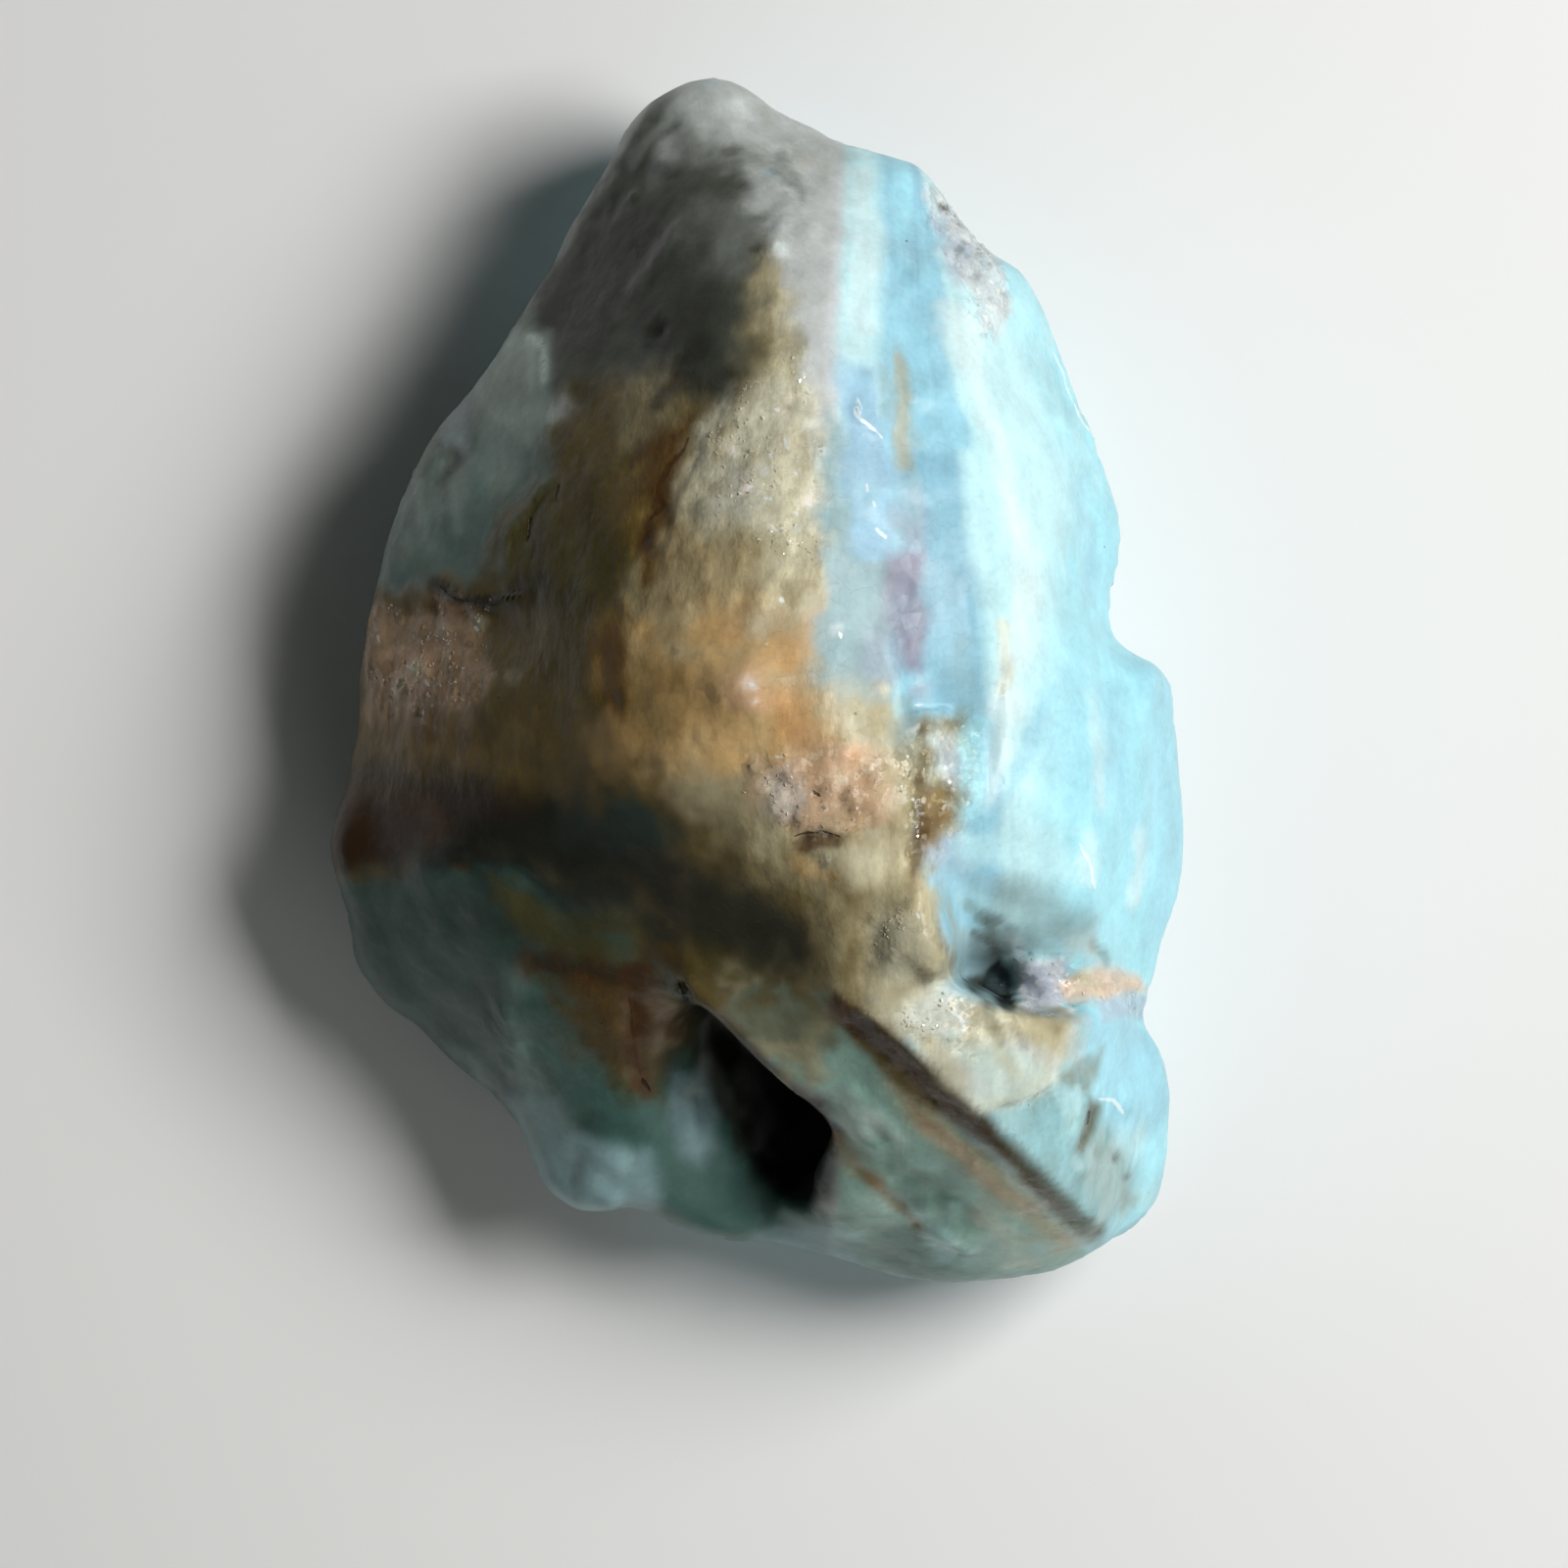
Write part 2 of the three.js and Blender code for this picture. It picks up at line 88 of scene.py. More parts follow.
floor_mesh = bpy.data.meshes.new("floor")
half = FLOOR_SIZE / 2
floor_corners = [(-half, -half, 0), (half, -half, 0), (half, half, 0), (-half, half, 0)]
floor_mesh.from_pydata(floor_corners, [], [(0, 1, 2, 3)])
floor = bpy.data.objects.new("floor", floor_mesh)
bpy.context.scene.collection.objects.link(floor)
table = bpy.data.materials.new("pale_table")
table.use_nodes = True
table.node_tree.nodes["Principled BSDF"].inputs["Base Color"].default_value = TABLE_COLOUR
table.node_tree.nodes["Principled BSDF"].inputs["Roughness"].default_value = TABLE_ROUGHNESS
floor_mesh.materials.append(table)
print("floor, in metres:", FLOOR_SIZE)

# %% Lights
LIGHTS = (                      # name, place and side in metres, power in watts, colour
    ("window", (0.26, 0.09, 0.36), 0.20, 2.0, (1.0, 0.99, 0.97)),
    ("fill", (0.16, -0.34, 0.22), 0.30, 0.27, (0.98, 1.0, 0.95)),
)
STONE_MIDDLE = Vector((0, 0, 20 * MM))
SKY_COLOUR = (0.96, 1.0, 0.94, 1)
SKY_STRENGTH = 0.05


def soft_light(name, place, size, power, colour):
    """A square light that faces the stone."""
    data = bpy.data.lights.new(name, "AREA")
    data.energy = power
    data.size = size
    data.color = colour
    light = bpy.data.objects.new(name, data)
    light.location = place
    light.rotation_euler = (STONE_MIDDLE - light.location).to_track_quat("-Z", "Y").to_euler()
    bpy.context.scene.collection.objects.link(light)


for row in LIGHTS:
    soft_light(*row)
sky = bpy.data.worlds.new("sky")
sky.use_nodes = True
sky.node_tree.nodes["Background"].inputs["Color"].default_value = SKY_COLOUR
sky.node_tree.nodes["Background"].inputs["Strength"].default_value = SKY_STRENGTH
bpy.context.scene.world = sky
print("lights:", [name for name, *_ in LIGHTS])

# %% [markdown]
# ## The body of the stone
#
# The solid's flat triangles would show as facets, and a stone like this has none: water and
# handling have rounded it. Subdividing would keep the triangles' long slivers as ripples. A voxel
# remesh is better: it lays an even net of small squares over the solid, whatever its triangles
# were, and a few rounds of averaging then melt the old edges away. Vertices near the fresh breaks
# are averaged far less, so the lip of the hollow and the edge of the groove stay crisp.

# %% Even net over the solid
NET_SIZE = 0.385 * MM
MERGE_DISTANCE = 0.001 * MM

cad_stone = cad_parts["amazonite"]
merged = cad_stone.data.copy()
solid = bmesh.new()
solid.from_mesh(merged)
bmesh.ops.remove_doubles(solid, verts=solid.verts, dist=MERGE_DISTANCE)
solid.to_mesh(merged)
solid.free()
merged.materials.clear()
stone = bpy.data.objects.new("stone", merged)
bpy.context.scene.collection.objects.link(stone)


def evaluated_mesh(piece, name):
    """The plain mesh that a piece's modifiers make of it. The modifiers are removed."""
    graph = bpy.context.evaluated_depsgraph_get()
    made = bpy.data.meshes.new_from_object(
        piece.evaluated_get(graph), preserve_all_data_layers=True, depsgraph=graph)
    made.name = name
    piece.modifiers.clear()
    piece.data = made
    return made


net = stone.modifiers.new("net", "REMESH")
net.mode = "VOXEL"
net.voxel_size = NET_SIZE
mesh = evaluated_mesh(stone, "stone")
print("squares in the net:", len(mesh.polygons))

# %% Read and write all points at once
def read(items, key, width, kind=float):
    """One value of many vertices or edges, as an array."""
    values = np.empty(len(items) * width, kind)
    items.foreach_get(key, values)
    return values.reshape(-1, width) if width > 1 else values


def write_points(new_points):
    """Moves the stone's vertices and gives back their new normals."""
    mesh.vertices.foreach_set("co", new_points.ravel())
    mesh.update()
    return read(mesh.vertices, "normal", 3)


points = read(mesh.vertices, "co", 3)
edges = read(mesh.edges, "vertices", 2, np.int32)
print("vertices:", len(points), " edges:", len(edges))

# %% [markdown]
# ## Tools for sculpting and painting
#
# A sculptor marks a feature on the stone and then cuts or tints along the mark. The tools here do
# the same with numbers: a mark is a short list of places in plan, in millimetres, and each tool
# works out how near every vertex is to it. A little smooth random noise bends every mark, so that
# none of its edges is straighter than a real one.

# %% Noise and fading
HASH = (73856093, 19349663, 83492791)           # large primes that scatter neighbouring whole numbers
SEED_HASH = 40503
MIXER = 1274126177


def fade(value):
    """From 0 to 1 with soft ends."""
    value = np.clip(value, 0, 1)
    return value * value * (3 - 2 * value)


def random_at(cells, seed):
    """A repeatable random number from -1 to 1 for each row of whole numbers."""
    key = (cells * HASH[:cells.shape[1]]).sum(axis=1) + seed * SEED_HASH
    for shift in (13, 11):
        key = ((key ^ (key >> shift)) * MIXER) & 0xFFFFFFFF
    return (key >> 8 & 0xFFFF) / 32767.5 - 1


def noise(places, size, seed):
    """Smooth random values from about -1 to 1, which change over a given size."""
    scaled = places / size
    cells = np.floor(scaled).astype(np.int64)
    share = fade(scaled - cells)
    total = np.zeros(len(places))
    for corner in itertools.product((0, 1), repeat=places.shape[1]):
        weight = np.where(corner, share, 1 - share).prod(axis=1)
        total += weight * random_at(cells + corner, seed)
    return total


def rough_noise(places, size, seed, layers=3):
    """Noise with finer and weaker noise on it."""
    return sum(noise(places, size / 2 ** layer, seed + layer) / 2 ** layer for layer in range(layers)) / 1.5


print("noise at a test place:", round(float(noise(np.full((1, 3), 0.5), 1.0, 1)[0]), 3))

# %% Marks in plan
BEND_SEED = 11


class Marks:
    """The plan places of all vertices, with the noise that bends every mark."""

    def __init__(self, places, bends):
        self.places = places[:, :2] / MM
        for number, (size, amount) in enumerate(bends):
            shift = [noise(places, size * MM, BEND_SEED + 4 * number + axis) for axis in (0, 1)]
            self.places = self.places + amount * np.stack(shift, axis=1)

    def along(self, path):
        """For each vertex: distance to an open path, side of it (1 is left), share of the way along."""
        nearest = np.full(len(self.places), np.inf)
        side = np.ones(len(self.places))
        run = np.zeros(len(self.places))
        corners = np.array(path, float)
        for number, (start, end) in enumerate(zip(corners[:-1], corners[1:])):
            step = end - start
            offset = self.places - start
            share = np.clip(offset @ step / (step @ step), 0, 1)
            gap = offset - share[:, None] * step
            distance = np.hypot(gap[:, 0], gap[:, 1])
            closer = distance < nearest
            nearest[closer] = distance[closer]
            side[closer] = np.sign(step[0] * gap[closer, 1] - step[1] * gap[closer, 0])
            run[closer] = (number + share[closer]) / (len(corners) - 1)
        return nearest, side, run

    def within(self, outline):
        """How deep each vertex lies inside a closed outline. Outside it is negative."""
        depth = self.along([*outline, outline[0]])[0]
        x, y = self.places.T
        inside = np.zeros(len(x), bool)
        for (ax, ay), (bx, by) in zip(outline, [*outline[1:], outline[0]]):
            crosses = (ay > y) != (by > y)
            inside ^= crosses & (x < ax + (bx - ax) * (y - ay) / (by - ay if by != ay else 1))
        return np.where(inside, depth, -depth)

    def line(self, path, width):
        """1 on a path, fading to 0 at its width."""
        return fade(1 - self.along(path)[0] / width)

    def area(self, outline, soft):
        """1 inside an outline, fading to 0 over a soft edge."""
        return fade(self.within(outline) / soft + 0.5)

    def spot(self, x, y, radius):
        """1 at a place, fading to 0 at a radius."""
        return fade(1 - np.hypot(self.places[:, 0] - x, self.places[:, 1] - y) / radius)


straight = Marks(points, ())
print("vertices that marks can reach:", len(straight.places))

# %% [markdown]
# ## Smoothing that spares the fresh breaks
#
# Averaging each vertex with its neighbours is what wears a stone. The lip of the hollow, the sharp
# edge of the groove, the edge of the honey front over the pocket and the lump's edge broke late, so
# the averaging is held back near them.

# %% Wear
FRESH_BREAKS = {
    "hollow_lip": [(-4.4, -19.7), (-1.6, -21.8), (2.2, -25.4), (4, -26.8), (5.3, -28.5), (4.6, -31.2),
                   (4, -33.4)],
    "groove_edge": [(5.9, -20.1), (8.2, -21.8), (12.2, -25.5), (16.5, -29.5), (22, -34.9)],
    "front_break": [(10.3, -11.5), (10.8, -13.4), (11.7, -15.4), (12, -17), (10.9, -18.9)],
    "lump_edge": [(12.3, -19.3), (15.2, -20.8), (19.6, -21.5), (23.4, -21.9)],
}
WEAR_ROUNDS = 19
WEAR_SHARE = 0.5                # of the way to its neighbours' middle that a vertex moves in a round
FRESH_SHARE = 0.10              # the same, on a fresh break
FRESH_REACH = 1.6               # mm from a break over which the wear grows to its full share


def relax(places, share, rounds):
    """Moves each vertex its share of the way to the middle of its neighbours, again and again."""
    first, second = edges.T
    count = np.bincount(edges.ravel(), minlength=len(places))
    for _ in range(rounds):
        for_axis = [
            np.bincount(first, places[second, axis], len(places))
            + np.bincount(second, places[first, axis], len(places)) for axis in range(3)]
        places = places + (np.stack(for_axis, axis=1) / count[:, None] - places) * share[:, None]
    return places


fresh = np.max([straight.line(path, FRESH_REACH) for path in FRESH_BREAKS.values()], axis=0)
points = relax(points, WEAR_SHARE + (FRESH_SHARE - WEAR_SHARE) * fresh, WEAR_ROUNDS)
normals = write_points(points)
print("height after wear, in mm:", round(points[:, 2].max() / MM, 2))

# %% [markdown]
# ## Sculpting
#
# The wear left a body like soap. What makes it a broken mineral is cut back in here, in the
# places where the stone has it: terraces where a slab has split off, furrows for cracks and
# veins, ridges and mounds for the lumps of the harder crystals. Each is a path or a place, with a
# width and a height in millimetres. Where no feature has a place of its own, on the sides and the back, the
# stone is chipped: random centres each own the vertices nearest to them, and each of these chips
# leans its own way, which gives the flat, slightly tilted faces of broken feldspar.

# %% Sculpting tools
SWELL = 0.30                    # mm that the wear took off all round, and is put back
EDGE = 0.35                     # mm over which a terrace drops
TAPER = 0.25                    # share of a path over which its ends run out
EXACT_BENDS = ((3, 0.27), (1.1, 0.13))        # mm: sizes of the noise that bends marks, and how far
UNDERSIDE = -0.25               # upward share of the normal, below which the front's marks are left out
UNDERSIDE_SOFT = 0.4            # and how much more it takes until they are cut in full
UNEVEN = (0.65, 0.9)            # height of ridges: on the average, and by how much noise changes it
UNEVEN_SIZE = 1.5               # mm
UNEVEN_LIMITS = (0.1, 1.3)

points = points + normals * SWELL * MM
normals = write_points(points)
marks = Marks(points, EXACT_BENDS)
facing_up = fade((normals[:, 2] - UNDERSIDE) / UNDERSIDE_SOFT)
unevenness = np.clip(UNEVEN[0] + UNEVEN[1] * noise(points, UNEVEN_SIZE * MM, 91), *UNEVEN_LIMITS)


def tapered(run):
    """1 along the middle of a path, and 0 at its ends."""
    return fade(np.minimum(run, 1 - run) / TAPER)


def ridges(*rows):
    """Ridges and furrows: a path, a width and a height each. Noise makes them higher and lower."""
    total = np.zeros(len(points))
    for path, width, height in rows:
        distance, _, run = marks.along(path)
        total += height * unevenness * fade(1 - distance / width) * tapered(run)
    return total


def terraces(*rows):
    """Steps: a path with the high side on its left, a reach over which the high side fades, a height."""
    total = np.zeros(len(points))
    for path, reach, height in rows:
        distance, side, run = marks.along(path)
        total += height * fade(side * distance / EDGE + 0.5) * fade(1 - distance / reach) * tapered(run)
    return total


def mounds(*rows):
    """Mounds and pits: a place, a radius and a height each."""
    return sum(height * marks.spot(x, y, radius) for x, y, radius, height in rows)


def chips(places, size, seed, crispness=18):
    """Flat faces around random centres, each leaning its own way: heights from about -0.4 to 0.4."""
    scaled = places / (size * MM)
    cells = np.floor(scaled).astype(np.int64)
    total = np.zeros(len(places))
    weights = np.zeros(len(places))
    for neighbour in itertools.product((-1, 0, 1), repeat=3):
        cell = cells + neighbour
        shift = np.stack([random_at(cell, seed + axis) for axis in range(3)], axis=1)
        lean = np.stack([random_at(cell, seed + 3 + axis) for axis in range(3)], axis=1)
        gap = scaled - cell - 0.5 - 0.4 * shift
        weight = np.exp(-crispness * (gap ** 2).sum(axis=1))
        total += weight * (gap * lean).sum(axis=1)
        weights += weight
    return total / weights


print("share of the stone that faces up:", round(float(facing_up.mean()), 2))

# %% Peak and smoky side
smoky_side = ridges(
    ([(-3.2, 30.4), (-5.6, 27.2), (-8.6, 23.6)], 0.9, 0.28),  # edge between two smoky faces
    ([(-8.6, 33.4), (-9.4, 30), (-11.2, 26)], 1.2, -0.25),  # hollow beside it
    ([(-6.4, 22.8), (-6.1, 21.6), (-5.7, 20.3)], 1.0, -0.25),  # dark nick above the stain
    ([(-5, 19.8), (-5.6, 18.6), (-6.6, 17.6)], 0.9, -0.20),
    ([(-20.3, 6.2), (-18.5, 5.4), (-16.8, 5)], 0.6, -0.25),  # crack under the ledge
    ([(-14.2, 10.8), (-14.3, 8.4)], 0.35, -0.30),  # two short upright cracks
    ([(-12.3, 12.4), (-12.6, 10.9)], 0.35, -0.28),
    ([(-19.6, 15.2), (-19, 13.6), (-20.2, 12.4)], 0.8, -0.30),  # hollow near the rim
) + terraces(
    ([(-12.9, 17.6), (-13.1, 19.4), (-13.2, 21.2), (-14.2, 21.8), (-15.8, 21.8)], 2.6, 0.28),  # split slab
    ([(-15.6, 6.4), (-15.2, 9.6), (-13.6, 11.4), (-12.3, 12.4)], 2.0, 0.30),
    ([(-13.4, 5.8), (-16.8, 5.3), (-20.6, 6.3)], 3.0, 0.45),  # ledge over the sugary patch
) + mounds(
    (1.5, 27.2, 1.3, 0.55), (1.7, 28.6, 0.9, 0.25), (3.3, 28.4, 1.1, 0.25), (-5.6, 32.9, 1.0, 0.25),
    (-3.9, 34.9, 1.4, 0.30), (-7.6, 30.8, 0.5, 0.25), (-21.4, 0.9, 1.6, 0.35), (-18.8, 3.2, 1.8, 0.30),
)
print("smoky side, mm:", round(smoky_side.min(), 2), round(smoky_side.max(), 2))

# %% Bands of the aqua side
aqua_side = ridges(
    ([(9, 32), (9.4, 27), (9.8, 21), (10.4, 15), (10.4, 8)], 2.6, -0.45),  # flute
    ([(11.2, 30.5), (12.4, 26), (13.6, 22.6), (14.4, 18)], 0.8, 0.30),
    ([(16, 22), (18.2, 18.2), (20.2, 14.4), (21.2, 10)], 0.7, -0.22),
    ([(18.3, 22.2), (20.2, 18), (21.9, 14.6)], 0.6, 0.25),
    ([(19.2, 12), (20, 6), (19.8, 1)], 0.6, -0.16),
    ([(20, -9.6), (20.9, -11.8), (21.2, -13.6)], 0.7, 0.45),  # glinting edge on the block
    ([(24.1, -1.6), (24.4, -7), (24, -13)], 0.8, 0.30),
    ([(22.3, 0.4), (22.9, -5), (23.3, -10)], 0.7, -0.20),
    ([(15.6, -6), (15.2, -6.6)], 0.3, -0.25),
) + terraces(
    ([(5.7, 17.8), (6.3, 16.3), (8.2, 14.8)], 1.6, 0.32),  # small flake
    ([(12.6, -1.8), (11, -2), (9.3, -1.9)], 2.0, 0.55),  # step under the lilac block
    ([(14, -9.6), (14.8, -6.6), (15.2, -2.8), (15.8, 0.2), (15.4, 3.2), (14.8, 6.4)], 2.4, -0.25),
    ([(10.9, 31.4), (11.6, 28.2), (12.8, 25.6), (14.4, 23)], 2.8, -0.50),  # crystalline break at the rim
    ([(16, 24.6), (15, 26.6), (14.4, 27.6)], 1.8, 0.35),
) + mounds((10.3, -0.8, 1.4, 0.35), (7.4, 10.8, 0.9, 0.14), (25.0, -0.6, 1.8, 0.25))
print("aqua side, mm:", round(aqua_side.min(), 2), round(aqua_side.max(), 2))

# %% Honey front
honey_front = ridges(
    ([(-4.2, 14.6), (-5.6, 12.2), (-6.4, 10.2), (-7.2, 8.4), (-6.4, 6.2)], 0.9, -0.22),  # rust vein
    ([(-8.5, 5.6), (-7.8, 4.2)], 0.8, 0.15),  # cream chips on its edge
    ([(-8.5, 3.4), (-8.1, 1.8), (-8.3, 0.2)], 0.8, 0.15),
    ([(-9.2, 2.6), (-9.5, 0), (-8.7, -2.2)], 0.8, -0.18),
    ([(10.4, -3), (10.3, -6), (10.2, -9), (10.2, -12.6)], 0.7, -0.35),  # dark vein by the pocket
    ([(7.9, -14.8), (6.7, -16.8), (6.3, -18.6), (7, -20.4)], 1.7, -0.35),  # crease left of the overhang
    ([(2, -10.6), (3, -10.1), (4.2, -9.8), (5.7, -10.1)], 0.6, -0.4),  # small open mouth
) + terraces(
    ([(-6.2, 6.4), (-5.5, 8.6), (-5.3, 10.6), (-4.5, 12.4), (-3.4, 14.6), (-1.9, 17.2), (-1, 19.6)], 3.2,
     -0.16),
    ([(12, -9), (13.6, -8.2), (14.6, -6.6)], 1.6, 0.25),
    ([(10.2, -19.2), (11, -18.8), (11.6, -17.6), (11.6, -16.6), (11, -15), (10.7, -13), (10.4, -11)],
     3.2, 1.1),                                             # overhang of the front over the pocket
) + mounds(
    (-0.4, -0.4, 3.4, 0.7), (3.6, -7.2, 0.5, -0.55), (3.8, -11.3, 0.5, -0.30), (10.2, -10.4, 0.8, -0.5),
    (6.2, -7.4, 1.6, 0.30), (7.6, -6.2, 1.1, 0.28), (2.0, -5.4, 1.5, 0.28), (9.5, -16.4, 3.0, 0.9),
    (3.2, -8.8, 1.6, 0.22), (12.0, -8.0, 1.3, 0.30), (5.6, -12.0, 2.0, 0.30), (0.3, 5.0, 1.4, 0.25),
    (-3.0, 10.8, 1.6, 0.35),
)
print("honey front, mm:", round(honey_front.min(), 2), round(honey_front.max(), 2))

# %% Foot, lump and pocket
foot = ridges(
    ([(-20.5, -11.5), (-18, -11.4), (-16, -12), (-13.8, -13), (-11.4, -14.2)], 0.8, -0.20),
    ([(-8.1, -18.8), (-7.7, -21.6), (-7.6, -24.6), (-6.5, -26)], 1.1, -0.40),  # rusty furrow
    ([(-5.6, -18.8), (-5.7, -21), (-5.6, -23.6)], 1.6, 0.40),  # column beside it
    ([(-5, -18.7), (-4.1, -20.4)], 0.45, -0.55),
    ([(-4.5, -25.2), (-3.7, -27.4), (-3.3, -29.8)], 2.3, 0.60),  # pale lumps
    ([(-11.6, -31.2), (-8, -31.4)], 3.0, 0.50),
    ([(-17, -18.4), (-16, -22), (-15.5, -25), (-14.8, -27.8)], 1.6, 0.50),  # edge of the lobe
    ([(4.8, -25.6), (7, -27.6), (9.6, -30)], 1.6, 0.45),  # rib
    ([(9.8, -33.4), (12.2, -34.6), (14.4, -36.4)], 1.4, 0.50),
    ([(8.4, -30.4), (11, -32), (14, -34.4)], 1.0, -0.35),
    ([(5.9, -29.6), (8, -32.2), (10.4, -34.6)], 1.0, -0.35),
    ([(12.2, -32.4), (14, -33.8)], 0.7, -0.22),
    ([(18.6, -25.1), (20.2, -24.8), (21.7, -24)], 0.8, -0.40),  # cracks of the lump
    ([(19.6, -25.3), (21.3, -25.9)], 0.7, -0.25),
    ([(21.4, -26.8), (21.1, -28.2), (20.5, -29.3)], 0.6, -0.70),
    ([(14, -20.4), (14.6, -21.8), (15.1, -23)], 0.6, -0.35),
    ([(15.6, -20.8), (16.8, -22.2)], 0.7, 0.30),
    ([(14.6, -18.4), (15.6, -19), (16.2, -20.2)], 0.9, -0.3),  # pocket's gap
    ([(20, -19.1), (22, -18.9), (24.4, -19.2)], 1.1, 0.70),  # peach block
) + terraces(
    ([(19.2, -25.2), (18, -25.9), (16.2, -26.7), (14.4, -27.1)], 3.0, -0.55),  # cream over aqua
    ([(9.3, -21.9), (10.2, -20.3), (12, -19.6), (13.2, -21), (13.2, -22.8), (11.4, -22.4), (9.5, -22.1)],
     1.2, -0.25),
) + mounds(
    (17.4, -18.0, 1.3, 0.70), (18.6, -19.6, 1.2, 0.70), (17.0, -20.1, 1.0, 0.45),
    (21.8, -17.2, 0.6, -0.3), (10.3, -34.5, 0.6, -0.3), (13.2, -36.4, 0.6, -0.25), (22.8, -30.2, 0.5, -0.3),
    (20.4, -30.6, 1.0, 0.35), (23.6, -26.6, 1.4, 0.25), (11.4, -18.7, 0.7, -0.5), (6.0, -32.4, 5.0, 1.0),
)
print("foot, mm:", round(foot.min(), 2), round(foot.max(), 2))

# %% Chipped sides and back
SIDE_CHIPS = ((11.0, 3.0, 101), (4.6, 0.9, 131))    # size in mm, height in mm, seed
SIDE_SINK = 0.12                                    # share of their height that the side chips lie deeper
FRONT_CHIPS = ((7.0, 0.30, 151),)
FRONT_CRISPNESS = 8
FLAT_GUARD = 1.6                                    # mm over which the resting face is spared
RIM_SLACK = 0.5                                     # mm that the rim may lie inside the widest place
RIM_DEPTH = 6.0                                     # mm under the rim over which the chips set in
SECTORS = 120


def rim(places):
    """For each vertex: height of the widest place in its direction, and how far inside it the vertex is."""
    angle = np.arctan2(places[:, 1], places[:, 0])
    radius = np.hypot(places[:, 0], places[:, 1])
    sector = ((angle / math.pi + 1) * SECTORS / 2).astype(int) % SECTORS
    widest = np.zeros(SECTORS)
    np.maximum.at(widest, sector, radius)
    at_rim = radius > widest[sector] - RIM_SLACK * MM
    height = np.zeros(SECTORS)
    np.maximum.at(height, sector[at_rim], places[at_rim, 2])
    height = (height + np.roll(height, 1) + np.roll(height, -1)) / 3
    return height[sector], widest[sector] - radius


under_rim = fade((rim(points)[0] - points[:, 2]) / (RIM_DEPTH * MM))
side_relief = sum(height * (chips(points, size, seed) - SIDE_SINK) for size, height, seed in SIDE_CHIPS)
front_relief = sum(height * chips(points, size, seed, FRONT_CRISPNESS) for size, height, seed in FRONT_CHIPS)
guard = fade(points[:, 2] / (FLAT_GUARD * MM))
relief = facing_up * (1 - under_rim) * (smoky_side + aqua_side + honey_front + foot + front_relief)
relief += under_rim * np.minimum(side_relief, 0)
points = points + normals * (relief * guard * MM)[:, None]
points[:, 2] = np.maximum(points[:, 2], 0)
normals = write_points(points)
print("resting face, vertices on the ground:", int((points[:, 2] == 0).sum()))

# %% [markdown]
# ## Painting the minerals
#
# On the real stone the colours are minerals: blue-green amazonite, white albite in thin layers
# through it, smoky quartz and feldspar, and iron that has seeped in and left rust, ochre and olive.
# They are painted like glazes, from the broadest to the smallest. Each wash has one named colour,
# a shape in plan and a soft border, and noise breaks the border up into grains. Where a colour runs
# down a side it also wanders, so that it doesn't hang there in straight streaks. Under the rim the
# paint gives way to layers that run through the whole stone, as they do on any broken side of it.
# Some washes stand in for light instead: painted shade in the deep hollow, the pocket, the groove's
# brow; and painted highlights, glints on the crest, the honey front, the sugary patch and the block.
# wall, under the ledge and the lobe's overhang, and partly on the smoky face and the face under the

# %% Palette
def shade(red, green, blue):
    """A colour as it looks on a screen, from 0 to 255, as the amounts of light that materials mix."""
    value = np.array((red, green, blue)) / 255
    return np.where(value < 0.04, value / 12.92, ((value + 0.055) / 1.055) ** 2.4)


PALETTE = {
    "snow": shade(228, 240, 240), "ice": shade(192, 232, 238), "aqua": shade(164, 223, 236),
    "sky": shade(154, 207, 225), "deep_sky": shade(142, 192, 212), "periwinkle": shade(158, 198, 220),
    "mist": shade(150, 180, 186), "lilac": shade(168, 174, 192), "mauve": shade(136, 128, 148),
    "slab": shade(190, 208, 202), "teal": shade(112, 136, 130), "dark_teal": shade(56, 82, 76),
    "sea": shade(80, 115, 108),
    "cloud": shade(178, 184, 182), "smoke": shade(84, 89, 80), "soot": shade(44, 44, 36),
    "slate": shade(58, 60, 50), "cream": shade(214, 212, 188), "sand": shade(180, 171, 138),
    "umber": shade(112, 96, 56), "olive": shade(84, 76, 36), "ochre": shade(148, 116, 62),
    "honey": shade(214, 178, 122), "orange": shade(196, 142, 88), "rust": shade(82, 54, 26),
    "peach": shade(224, 182, 146), "flesh": shade(200, 168, 138), "black": shade(12, 11, 9),
    "milk": shade(190, 230, 232), "pearl": shade(204, 210, 212), "pale_sea": shade(150, 188, 176),
    # the last colour is only used for painted highlights
    "highlight_white": shade(252, 236, 222),
}
print("colours:", len(PALETTE))

# %% Ground coat and noise for the brushes
BROAD_BENDS = ((7, 0.9), (2.6, 0.7), (1, 0.35))
SOFTNESS = 1.9                  # how much wider than asked the soft borders of areas are
MOTTLE = 0.9                    # how much noise breaks a border up
THINNING = 0.6                  # how much noise thins a wash out
WANDER = 0.5                    # mm by which colours wander for each mm that they run down a side
WANDER_START = 1                # mm under the rim at which they set out
WANDER_DEPTH = 12               # mm after which they wander no further
WANDER_SIZE = 7                 # mm, as the next two
MOTTLE_SIZE = 1.7
CLOUD_SIZE = 4.2

